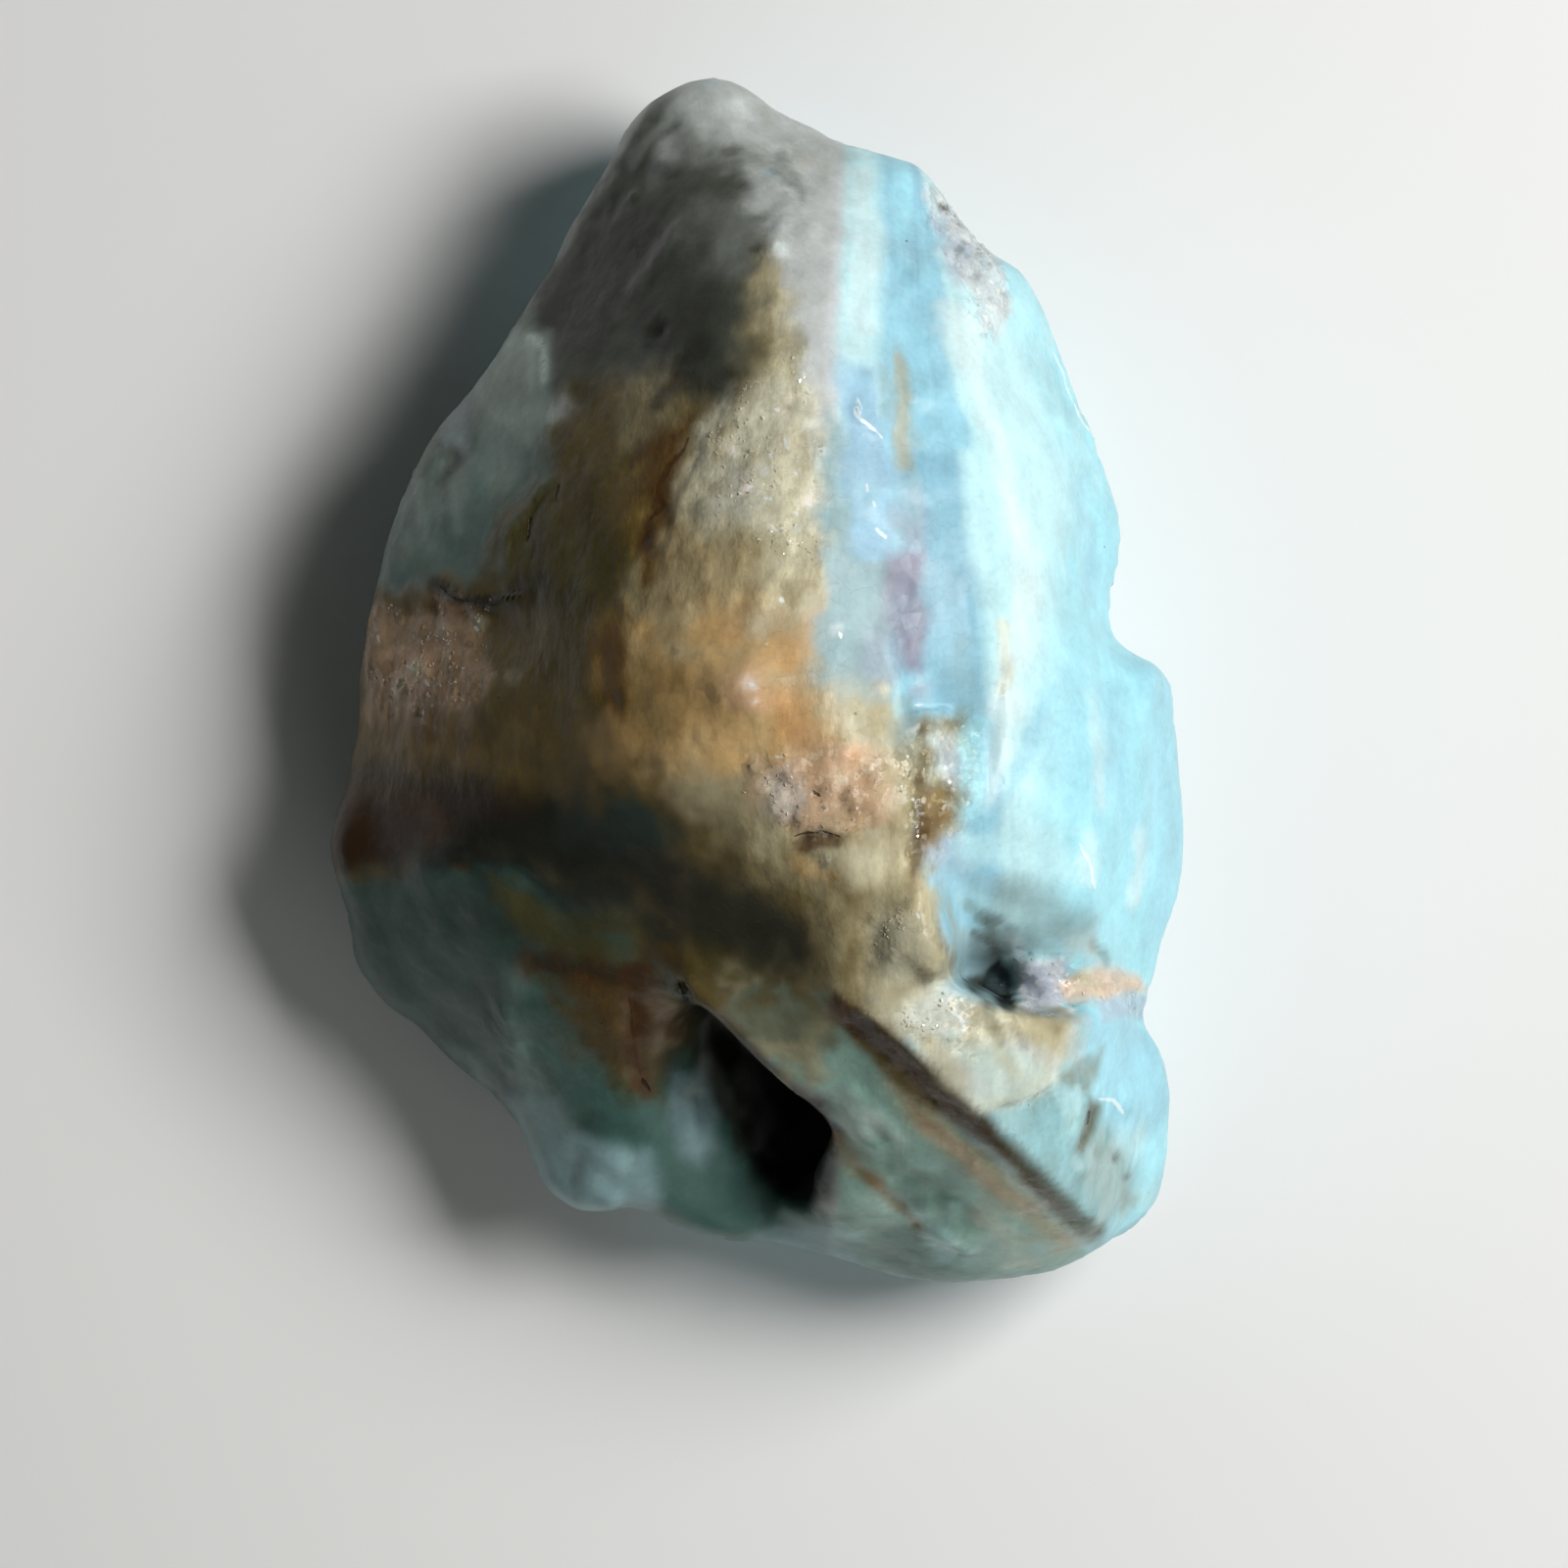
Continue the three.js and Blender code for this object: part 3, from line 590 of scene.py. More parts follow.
tint = np.tile(PALETTE["aqua"], (len(points), 1))
marks = Marks(points, EXACT_BENDS)
broad_marks = Marks(points, BROAD_BENDS)
height_of_rim, from_rim = rim(points)
below_rim = np.clip((height_of_rim - points[:, 2]) / MM - WANDER_START, 0, WANDER_DEPTH)
wander = np.stack([rough_noise(points, WANDER_SIZE * MM, seed) for seed in (351, 361)], axis=1)
for plan in (marks, broad_marks):
    plan.places = plan.places + WANDER * below_rim[:, None] * wander
mottles = [rough_noise(points, MOTTLE_SIZE * MM, seed) for seed in (301, 311, 321, 331)]
clouds = [rough_noise(points, CLOUD_SIZE * MM, seed) for seed in (401, 411, 421)]
print("deepest run down a side, in mm:", round(float(below_rim.max()), 1))

# %% Brushes
CRISP_THINNING = 0.3
CRISP_MOTTLE = 0.3
turns = itertools.count()       # each wash takes the next noise in turn


def wash(colour, mask, strength=1.0, thinning=THINNING, mottle=MOTTLE):
    """Tints the stone where a mask is set, unevenly, as a stain soaks in."""
    turn = next(turns)
    border = 4 * mask * (1 - mask)
    mask = np.clip(mask + mottle * border * mottles[turn % 4], 0, 1)
    thin = 1 - thinning * np.clip(-clouds[turn % 3] - 0.3 * mottles[(turn + 1) % 4], 0, 1)
    tint[:] = tint + (PALETTE[colour] - tint) * (strength * mask * thin)[:, None]


def bases(*rows):
    """Even washes inside outlines, for the ground colours: a colour, an outline and a soft border."""
    for colour, outline, soft in rows:
        wash(colour, broad_marks.area(outline, soft * SOFTNESS), 1.0, 0.0)


def areas(*rows):
    """Washes inside outlines: a colour, an outline, the width of its soft border and a strength."""
    for colour, outline, soft, strength in rows:
        wash(colour, broad_marks.area(outline, soft * SOFTNESS), strength)


def crisp(*rows):
    """Washes inside outlines that keep to a sculpted edge."""
    for colour, outline, soft, strength in rows:
        wash(colour, marks.area(outline, soft), strength, CRISP_THINNING, CRISP_MOTTLE)


def lines(*rows):
    """Washes along paths: a colour, a path, a width and a strength."""
    for colour, path, width, strength in rows:
        wash(colour, marks.line(path, width), strength)


def spots(*rows):
    """Round washes: a colour, a place, a radius and a strength."""
    for colour, x, y, radius, strength in rows:
        wash(colour, marks.spot(x, y, radius), strength)


def tell(step):
    """Prints the stone's mean colour after a step, as amounts of light."""
    print(f"{step}: mean colour", np.round(tint.mean(axis=0), 3).tolist())


tell("ground coat")

# %% Bands of ice and sky, from the crest to the rim
BAND_ROWS = (34, 28, 20, 12, 4, -4)         # the heights in plan at which the bands' borders are given
BAND_BORDERS = (
    (2.6, 2.6, 2.8, 3.6, 4.2, 8.6),  # crest
    (5.4, 5.4, 4.8, 4.6, 5.2, 9.2),  # grey to ice
    (8.0, 8.4, 8.4, 8.4, 8.2, 9.6),  # ice to sky
    (9.6, 10.0, 9.6, 10.0, 10.3, 11.0),  # floor of the flute
    (10.2, 11.2, 11.9, 13.0, 14.2, 15.4),  # sky to ice
    (11.0, 13.0, 17.0, 19.0, 18.6, 17.5),  # ice to aqua
    (12.0, 15.0, 19.5, 23.0, 22.5, 26.5),  # rim
)
BAND_COLOURS = (
    (0.0, "cloud"), (0.7, "cloud"), (0.95, "pearl"), (1.2, "ice"), (1.75, "ice"), (2.0, "sky"), (2.5, "sky"),
    (3.0, "sky"), (3.15, "deep_sky"), (3.85, "deep_sky"), (4.08, "ice"), (4.9, "ice"), (5.3, "aqua"),
    (6.0, "aqua"),
)


def blended(values, rows):
    """A colour for each value, blended between the named colours that stand at given values."""
    stops = [stop for stop, _ in rows]
    return np.stack(
        [np.interp(values, stops, [PALETTE[name][channel] for _, name in rows]) for channel in range(3)],
        axis=1)


borders = [np.interp(marks.places[:, 1], BAND_ROWS[::-1], row[::-1]) for row in BAND_BORDERS]
band = sum(
    np.clip((marks.places[:, 0] - low) / (high - low), 0, 1) for low, high in zip(borders[:-1], borders[1:]))
tint[:] = blended(band, BAND_COLOURS)
tell("bands")

# %% Blocks and streaks within the bands
bases(
    ("sky", [(9.6, 30), (10.8, 29), (12.2, 20), (12.8, 14), (10.2, 14), (9.6, 20)], 0.6),
    ("periwinkle", [(5.2, 19), (8.2, 19), (8.4, 11), (8, 6), (5.2, 6), (4.8, 12)], 0.8),
    ("mist", [(4, 17), (5.2, 17), (5.6, 8), (8.4, 7), (9, -1), (4.6, -1.4), (3.6, 8)], 0.9),
)
areas(
    ("mist", [(8.6, 21), (9.7, 21), (10.2, 12), (10, 8.6), (8.6, 9)], 0.5, 0.7),
    ("sky", [(9.8, 26), (11.2, 25), (11.8, 20), (10.4, 20)], 0.7, 0.6),
    ("pearl", [(1.8, 31), (5, 31), (4.8, 18), (3.2, 15), (2.4, 24)], 1.4, 0.8),
    ("ice", [(6, 12.8), (7.6, 12.8), (8.2, 8.8), (7.2, 9.2)], 0.8, 0.35),
    ("lilac", [(7.4, 6), (9.6, 6.4), (10.2, 0.6), (8.4, -0.6), (7.6, 2)], 0.9, 0.5),
    ("ice", [(13, 24), (17, 26), (20, 20), (22, 12), (19, 8), (16, 12), (13.4, 18)], 2.0, 0.6),
    ("lilac", [(8.6, 12), (10, 12), (10.2, 7), (8.6, 7)], 1.0, 0.5),
    ("teal", [(12.8, 3), (14.6, 2.6), (15, -2.2), (13, -2.8)], 0.8, 0.3),
    ("mist", [(18.6, 11), (20.4, 11), (20.6, 2), (19, 2)], 0.8, 0.25),
    ("sky", [(19.4, 16), (21.6, 12), (22.6, 6), (20.4, 5), (19.8, 10)], 0.9, 0.45),
)
crisp(
    ("mauve", [(8.2, 8), (10.5, 8.2), (10.8, 4), (10.3, 0.4), (9.3, 0.4), (8.1, 4)], 1.3, 0.85),
)
lines(
    ("sand", [(8.9, 20.2), (9.2, 17), (9.5, 13.6)], 0.8, 0.6),
    ("snow", [(6.6, 32), (6.9, 26), (6.6, 21)], 1.3, 0.4),
    ("snow", [(12.2, 23), (14.2, 18), (15.8, 13), (16.8, 8), (16.8, 3), (15.6, -2), (14.4, -7)], 1.7, 0.5),
    ("aqua", [(9, 33), (9.6, 28.5)], 1.0, 0.5),
    ("cream", [(15.3, 3.6), (15.9, 0.6), (15.5, -0.8)], 0.7, 0.6),
)
spots(("lilac", 10.3, -0.9, 1.3, 0.7), ("ice", 10.9, -1.4, 1.0, 0.5), ("snow", 4.9, 3.2, 0.7, 0.6))
tell("blocks and streaks")

# %% Aqua block and rim
areas(
    ("sky", [(24.2, 1.6), (26.8, 1.4), (28, -6), (28, -17), (25, -16), (24.6, -6)], 0.9, 0.55),
    ("sky", [(18.4, 2), (21.6, 1), (22.8, -5), (20, -9), (17, -8)], 1.2, 0.3),
    # The narrow snow area on the block's edge is a painted highlight, the glint of that edge.
    ("snow", [(19.6, -9.6), (20.8, -9.6), (21.8, -13.4), (20.8, -13.4)], 0.5, 0.4),
    ("ice", [(12.4, -10), (18, -9.4), (20, -12.4), (15, -12.4), (12.4, -12)], 0.9, 0.6),
    ("pearl", [(11, 31.4), (13.4, 29), (14.8, 27), (15.6, 24.4), (14.6, 22.6), (12.8, 25.2), (11.4, 28)],
     0.8, 0.9),
    ("lilac", [(10.6, 30.6), (11.8, 29), (13.2, 25), (12, 25.4), (10.8, 28)], 0.6, 0.5),
)
lines(
    ("sky", [(22.4, -0.6), (22.9, -5), (23.6, -9)], 1.1, 0.6),
    ("snow", [(21.2, -0.8), (21.6, -5), (21.8, -8)], 0.9, 0.4),
    ("sky", [(18.7, -0.4), (16.9, -5), (14.2, -9.2)], 0.9, 0.6),
    ("snow", [(24.4, -9.6), (24, -14)], 0.9, 0.4),
)
spots(
    ("slate", 12.0, 30.2, 0.45, 0.7), ("slate", 12.9, 29.2, 0.4, 0.7), ("slate", 14.0, 25.6, 0.5, 0.5),
    ("smoke", 13.0, 27.4, 0.5, 0.5), ("snow", 13.2, 28.2, 0.7, 0.7), ("snow", 15.4, 25.8, 0.8, 0.8),
    ("snow", 12.4, 28.6, 0.5, 0.6),
)
tell("aqua block")

# %% Ground colours of the middle and the left
bases(
    ("sand", [(0, 30), (2, 30), (2.6, 20), (3.2, 14), (3.6, 6), (4.4, 1), (8.4, -1), (10.4, -6), (11.2, -13),
              (12.2, -18), (6, -21), (-4, -19), (-14, -10), (-16, 8), (-8, 20)], 1.0),
    ("umber", [(-30, 7), (-16, 6), (-13, 12), (-11.4, 17), (-9, 20), (-4, 19), (-2, 17), (-4, 13), (-6, 8),
               (-7, 2), (-6, -6), (0, -12), (-2, -22), (-16, -14), (-30, -13)], 1.7),
    ("teal", [(-30, 6), (-30, 24), (-13, 24), (-12, 16), (-12.6, 12), (-15.6, 8.8), (-17, 5.6)], 0.8),
    # The smoky face's ground is partly painted shade: darker than its mineral alone.
    ("smoke", [(-15, 22), (-14.6, 26), (-9, 34), (-6, 38), (-2, 42), (4, 42), (5, 34), (3, 29), (1, 26.6),
               (0.2, 24), (-0.6, 20.4), (-2, 17.4), (-5, 18), (-9.4, 18.4), (-12.4, 18.8)], 1.6),
    ("sea", [(-30, -12.4), (-22, -12.2), (-16, -12), (-11.4, -14), (-6, -18.4), (-3.6, -20.4), (-3.6, -26),
              (0, -31), (4.6, -34), (8, -38), (4, -42), (-12, -42), (-22, -30), (-30, -22)], 0.7),
)
crisp(
    ("pale_sea", [(4.6, -19.6), (6.4, -21.4), (12, -27.4), (17, -32.6), (21, -36.4), (17, -42), (4, -40),
                  (5, -34), (5.4, -29), (4.4, -26), (1.6, -24.6), (-2, -20.6), (0, -19)], 0.6, 1.0),
)
tell("ground colours")

# %% Peak and smoky face, its dark partly painted shade
areas(
    ("cloud", [(-7, 38), (-3, 42), (5, 42), (6, 34), (4.2, 31), (1.6, 33.4), (-2, 34.6), (-5, 34)], 1.6,
     0.95),
    ("cloud", [(-4.6, 35.4), (-0.6, 35.2), (-3, 33), (-6.8, 31.2), (-6.2, 33)], 0.9, 0.4),
    ("cloud", [(-0.8, 33.4), (3.4, 33.4), (5.2, 27), (4, 24.4), (1.8, 25.6), (0.4, 27.4), (-0.8, 30)], 1.4,
     0.9),
    # The soot and slate on the smoky face are partly painted shade: it faces away from the light.
    ("soot", [(-13.6, 20), (-12.6, 25), (-10, 29), (-6, 29), (-2.4, 26), (-0.9, 22.4), (-1.2, 18),
              (-3.6, 17), (-5, 20.4), (-9, 19.6)], 2.4, 0.75),
    ("smoke", [(-13, 19), (-10.4, 17.4), (-9.4, 18.8), (-7.6, 19.8), (-6.2, 21), (-11, 23)], 1.6, 0.8),
    ("black", [(-7.4, 22.8), (-6, 23), (-5.5, 21), (-5.9, 19.8), (-7, 20.6)], 0.8, 0.55),
    ("slate", [(-9, 34.6), (-6.4, 34.6), (-6, 31.6), (-9, 29), (-11.6, 28)], 1.2, 0.5),
    ("soot", [(-15, 19), (-14, 25), (-10.6, 30), (-6.4, 29), (-6.4, 24.6), (-9, 20.6)], 1.6, 0.6),
    ("cloud", [(-3.4, 31), (-0.6, 30), (-0.8, 25.6), (-3.2, 26)], 1.4, 0.22),
    ("slate", [(-4.2, 32.6), (-1.2, 32.2), (-1.6, 29.8), (-4.4, 30)], 0.9, 0.4),
)
lines(
    ("cloud", [(-4.6, 36.8), (-6.6, 34.6), (-7.6, 33)], 0.9, 0.4),
    ("smoke", [(-5.2, 38.2), (-6.2, 36.2), (-7.2, 34.8)], 0.8, 0.6),
    ("cloud", [(-3.2, 30.4), (-5.6, 27.2), (-8.6, 23.6)], 1.2, 0.16),
    ("smoke", [(1.6, 33.2), (2.6, 31.6), (2.9, 30.6)], 0.6, 0.5),
    ("slate", [(1.2, 32.4), (2.2, 31.4)], 0.5, 0.5),
    ("slate", [(1.6, 30.6), (0.4, 28.8)], 0.6, 0.25),
)
spots(
    ("snow", 1.4, 27.2, 1.0, 0.8), ("cloud", 2.2, 28.2, 1.3, 0.7), ("slate", 0.6, 27.6, 0.5, 0.3),
    ("mist", 0.9, 32.2, 0.9, 0.6), ("snow", -1.4, 36.6, 1.6, 0.3), ("sand", 3.2, 33.0, 0.9, 0.25),
)
tell("peak")

# %% Slab and shaded left
areas(
    ("cloud", [(-22.6, 8), (-22.6, 14), (-19, 18.4), (-17, 17.6), (-18, 12), (-20.4, 8)], 1.2, 0.35),
    ("lilac", [(-21, 17), (-18, 18.6), (-17.4, 16), (-19.4, 13.4)], 0.9, 0.35),
    ("dark_teal", [(-20.4, 9.6), (-16.6, 9.6), (-15.6, 6.6), (-20.6, 6.4)], 1.4, 0.35),
)
crisp(
    ("slab", [(-18.6, 19.4), (-15.8, 22.8), (-13.1, 22.2), (-13, 18.4), (-12.4, 16.6), (-13.8, 14.8),
              (-16, 16.4), (-17.4, 17.4)], 1.3, 0.6),
    ("slab", [(-16.4, 21.8), (-13.2, 21.8), (-13.2, 18.8), (-14.6, 18)], 1.2, 0.5),
    ("slab", [(-17.2, 18), (-14.8, 18), (-14.9, 13.6), (-16, 11.8), (-17.4, 13)], 1.4, 0.4),
)
lines(
    ("smoke", [(-20.4, 15.4), (-19, 14.2), (-19.8, 12.8)], 0.9, 0.8),
    ("slab", [(-21.6, 12.6), (-21.4, 10.4)], 0.7, 0.45),
    ("slab", [(-19, 12.2), (-18.9, 9.8)], 0.6, 0.3),
)
tell("slab")

# %% Olive stain and rust vein
areas(
    ("olive", [(-10.4, 18.6), (-11.9, 16.4), (-12.2, 13), (-14.8, 11), (-16.2, 8.8), (-16.4, 5.8),
               (-13.4, 5.4), (-11.8, 1.6), (-10, -2.4), (-8.6, -3), (-8.6, 4), (-7.6, 8), (-7.6, 13),
               (-8, 17)], 1.6, 1.0),
    ("sand", [(-8.8, 18.8), (-5.4, 19.2), (-4.4, 17.4), (-5.6, 14.6), (-8, 14.2)], 1.2, 0.4),
    ("ochre", [(-9, 12.6), (-7, 13.4), (-6.6, 10.4), (-8, 7.4), (-9, 9)], 1.2, 0.3),
    ("ochre", [(-11, 16), (-8.6, 17.4), (-8, 14.6), (-10.4, 13.6)], 1.2, 0.25),
    ("olive", [(-16, 5), (-9.6, 5), (-9.2, -1), (-12, -3.4), (-15, -1)], 1.4, 0.45),
    ("rust", [(-6.8, 15.2), (-4, 15.8), (-4.6, 13), (-5.2, 10), (-6.6, 6.6), (-7.6, 8), (-7, 11)], 0.7, 0.7),
    ("rust", [(-7.9, 9.8), (-6.2, 10), (-5.6, 8), (-5.7, 6.2), (-6.8, 6.2), (-7.6, 8)], 0.8, 0.6),
    ("rust", [(-10, 3), (-8.8, 3.4), (-8.5, 0.4), (-8.2, -2.6), (-9.6, -2.2)], 0.8, 0.45),
    ("sand", [(-8.6, 6.6), (-7.4, 7), (-6.8, 3), (-7.2, -1), (-8.2, 1)], 0.7, 0.4),
)
lines(
    ("soot", [(-4.8, 20), (-5.3, 18.7), (-6.2, 17.5)], 0.9, 0.7),
    ("olive", [(-12.2, 12.4), (-14.4, 10.8), (-15.6, 8.6)], 1.4, 0.4),
)
tell("stain and vein")

# %% Crystalline crest and honey front, with painted highlights
areas(
    ("olive", [(0, 26), (1.2, 26.4), (0.9, 22), (-0.4, 18.6), (-1.4, 19)], 0.9, 0.45),
    ("cloud", [(1.5, 26.4), (3.6, 26), (3.8, 16), (2.2, 16), (1.6, 21)], 1.0, 0.5),
    ("cream", [(-4.4, 12.6), (-1.6, 17), (1.6, 19.6), (3.4, 18), (4, 12), (3.6, 8.2), (0, 9), (-3.6, 10)],
     1.6, 0.95),
    ("cloud", [(-3.4, 14), (-1.6, 14.6), (0.4, 11.6), (-2.6, 11)], 0.8, 0.4),
    ("ochre", [(-5.4, 9.8), (-2, 10.4), (-0.6, 7), (-1.6, 3.6), (-7, 3.4), (-6, 6.6)], 1.4, 0.4),
    ("olive", [(-3.6, 12.6), (-1.4, 12.8), (-0.8, 11.2), (-3, 10.8)], 0.8, 0.25),
    ("cream", [(-0.6, 9), (3, 9.4), (3.4, 4.6), (0.4, 4)], 1.0, 0.4),
    ("honey", [(-8, 0.4), (-6.4, 2.2), (-4.8, 1.6), (-2.6, 4.2), (-0.8, 2.6), (0.8, 4), (2.8, 2), (3.4, -2),
               (1.8, -6), (-3, -6.2), (-8.2, -4.6)], 3.0, 0.95),
    ("orange", [(1.6, 1.6), (3.4, 4), (4.2, -1), (5.2, -4), (3.4, -5.2), (1.6, -3.2)], 1.4, 0.6),
    ("orange", [(-3.2, 3.6), (-1.8, 5.4), (0.2, 3.8), (2, 5.8), (2.6, 3), (0, 1.8)], 2.2, 0.3),
    ("sand", [(-3, 10), (-0.6, 9.4), (2.4, 10.2), (2.8, 7), (0.6, 5.2), (-1.6, 6.4)], 1.8, 0.5),
    ("ochre", [(-10.4, 3), (-8, 4.8), (-6, 2.2), (-4.2, 1), (-4.6, -3), (-9.6, -4.6)], 2.6, 0.5),
    ("sand", [(4.4, 1), (8.6, 0.8), (9.8, -2.6), (9.2, -5.4), (6.6, -5.4), (4.6, -2.4)], 0.9, 0.7),
    ("mist", [(4.6, 3), (7, 2.4), (8.4, -0.4), (6.2, -1), (4.6, 0.4)], 0.9, 0.4),
    ("flesh", [(0.8, -4.8), (5.4, -4.2), (8.6, -5), (8.4, -8.6), (6.4, -10.6), (3, -9.6), (0, -7.6)], 1.2,
     0.9),
    ("pearl", [(0.6, -6.2), (2.8, -5.8), (3.6, -8.2), (2.4, -9.2), (0.8, -8.6)], 1.0, 0.45),
    ("sand", [(5.6, -9.6), (9.8, -9), (10.2, -13), (11.4, -14), (12, -17.6), (7, -18.6), (2.6, -14.6),
              (0, -12)], 1.2, 0.85),
    ("umber", [(-5.4, -6.6), (0, -8.4), (2.6, -12), (4, -16), (0, -14), (-5, -10)], 2.2, 0.7),
    ("umber", [(1.6, -11.6), (5.4, -12.6), (7.6, -15), (7.2, -19), (4, -20), (0.6, -16)], 2.4, 0.8),
    ("cream", [(5, -10.8), (8.6, -10.4), (9, -13), (6.6, -13.4)], 1.0, 0.35),
    ("sand", [(7.6, -14.6), (11.4, -14.8), (12.2, -17), (10.6, -19), (7.6, -19.6), (7, -17)], 0.7, 0.7),
)
crisp(
    ("sand", [(8.2, -13), (11.4, -13.2), (11.7, -15), (12.3, -16.4), (12.4, -17.6), (11.5, -18.8),
              (10, -19.8), (7.2, -19.8), (7, -16)], 0.5, 0.8),
    # Painted shade along the overhang's edge, where it drops into the pocket.
    ("umber", [(11.5, -15), (12.2, -16.2), (12.5, -17.6), (11.6, -18.9), (11, -18.6), (11.8, -17.4),
               (11.5, -16.4)], 0.5, 0.6),
    ("rust", [(2.2, -10.4), (3.2, -9.7), (4.6, -9.5), (5.6, -9.9), (5.2, -10.5), (3.8, -10.5),
              (2.6, -10.9)], 0.35, 0.85),
    ("rust", [(-9.4, 3.2), (-8.6, 3.8), (-8.2, 1.4), (-8.4, -2.4), (-9.3, -2.2), (-9.7, 1)], 0.9, 0.5),
    ("umber", [(-8, 1), (-5.6, 1.6), (-4.4, -1), (-5, -3.6), (-8, -3.6)], 1.8, 0.35),
    ("sand", [(-4.6, 15), (-2.2, 15.4), (-1.6, 12), (-4.2, 10.6)], 1.4, 0.45),
    ("umber", [(-13.4, 14.6), (-9.4, 14.6), (-8.8, 10), (-12.6, 9.6)], 2.0, 0.3),
    ("cream", [(7.4, -14.6), (10.6, -14.8), (11.2, -17), (10, -19), (7.6, -19.2), (6.8, -17)], 1.6, 0.45),
)
lines(
    ("rust", [(3.4, -10.6), (3.8, -11.5)], 0.5, 0.5),
    ("honey", [(2.6, -11.4), (4.6, -12.4)], 0.9, 0.5),
    # Painted shade in the crease left of the overhang.
    ("umber", [(7, -14.8), (5.8, -16.8), (5.6, -18.6), (6.6, -20.6)], 1.4, 0.5),
    ("cream", [(9.2, -15.4), (8.6, -17.4), (9, -19.2)], 1.1, 0.4),
    ("cream", [(-2, 17), (-3, 15), (-3.9, 13)], 0.7, 0.45),
    ("umber", [(9.4, -1.4), (9.6, -5), (9.2, -9)], 0.9, 0.4),
)
# The near-white spots at the middle of the honey's swell and the small ones on the crest, with the
# two snow spots there, are painted highlights: glints of light, not mineral colour.
spots(
    ("peach", -0.2, -0.4, 2.6, 0.8), ("highlight_white", -0.3, -0.1, 0.9, 1.0), ("highlight_white", -0.1, -1.3, 0.5, 0.8),
    ("honey", -4.8, -4.2, 1.8, 0.5), ("cream", 0.4, 3.6, 1.6, 0.5), ("cream", 8.0, -0.7, 0.6, 0.7),
    ("cream", 6.0, -2.5, 0.7, 0.6), ("cream", 5.4, -6.0, 0.8, 0.5), ("cream", 7.4, -9.6, 0.8, 0.5),
    ("cream", 7.2, -5.6, 0.6, 0.5), ("cream", 4.6, -11.2, 0.6, 0.7), ("orange", 6.4, -4.4, 1.1, 0.5),
    ("cream", 1.4, 12.4, 0.9, 0.5), ("snow", 0.6, 13.0, 0.6, 0.5), ("snow", 2.6, 9.6, 0.5, 0.4),
    ("highlight_white", 1.6, 16.8, 0.7, 0.7), ("highlight_white", 1.9, 14.8, 0.7, 0.6), ("highlight_white", -1.4, 14.4, 0.6, 0.6),
    ("highlight_white", 3.2, 11.0, 0.8, 0.7), ("highlight_white", -0.4, 11.8, 0.6, 0.7), ("highlight_white", 2.4, 17.6, 0.5, 0.5),
    ("olive", -0.6, 13.2, 1.0, 0.3), ("olive", 1.2, 10.4, 0.8, 0.25), ("olive", -2.6, 12.0, 0.9, 0.3),
    ("umber", 2.6, 15.8, 0.7, 0.3), ("umber", 0.2, 16.2, 0.8, 0.3), ("umber", -3.0, 7.6, 1.0, 0.4),
    ("umber", -0.8, 5.8, 0.8, 0.3), ("cream", 1.4, 7.2, 0.9, 0.4), ("cream", 1.6, 5.0, 0.7, 0.6),
)
tell("honey front")

# %% Sugary patch and dark face, the dark face partly painted shade
areas(
    ("umber", [(-30, 6), (-20, 5.8), (-16, 5), (-12.4, 4), (-11, -2), (-9, -5.4), (-16, -7.6), (-30, -6)],
     1.2, 0.8),
    ("flesh", [(-24.8, 4), (-20.4, 4.8), (-17.6, 3.8), (-16.8, 0.4), (-19, -2.4), (-24.8, -2)], 1.0, 0.7),
    ("peach", [(-23.4, 2), (-20.4, 2), (-19.8, -0.8), (-22.6, -1.2)], 0.8, 0.5),
    ("ochre", [(-26, -1.6), (-19, -2.2), (-17.6, -4.6), (-22, -6), (-26, -5)], 1.4, 0.5),
    ("honey", [(-11, -2.4), (-8.4, -3), (-7.4, -5), (-10, -5.6)], 1.0, 0.35),
    # Partly painted shade: the slate, soot and dark teal on the face under the brow, which faces away
    # from the light, are darker than its mineral alone.
    ("slate", [(-21, -7.4), (-13.6, -6.2), (-9, -7.4), (-6, -8.8), (-3.4, -11), (0.4, -13.8), (3.6, -17.4),
               (2.4, -19), (-1, -18.6), (-6, -17), (-12, -13.4), (-18, -11.4), (-24, -10.4)], 2.6, 1.0),
    ("soot", [(-20, -7), (-13.6, -6.6), (-9, -7.8), (-6, -9.4), (-3.4, -11.6), (0, -14.4), (2.4, -17.4),
              (1.2, -18.6), (-2, -17.6), (-6, -16), (-12, -12.6), (-18, -10.8), (-24, -10)], 2.8, 0.75),
    ("soot", [(-30, -4.6), (-21, -5.4), (-17, -7.4), (-18, -11), (-24, -11.6), (-30, -11.4)], 1.8, 0.7),
    ("rust", [(-30, -6.4), (-20.4, -6.2), (-18.8, -8.4), (-20.6, -10.4), (-30, -11)], 1.5, 0.5),
    ("dark_teal", [(-12, -6.8), (-7, -7.6), (-5, -9.8), (-8.6, -10.6), (-12, -9)], 1.4, 0.5),
    ("olive", [(-1.4, -12.4), (3.4, -14.8), (7, -18.4), (4, -20.6), (-0.6, -18.6), (-4, -17)], 1.6, 0.45),
)
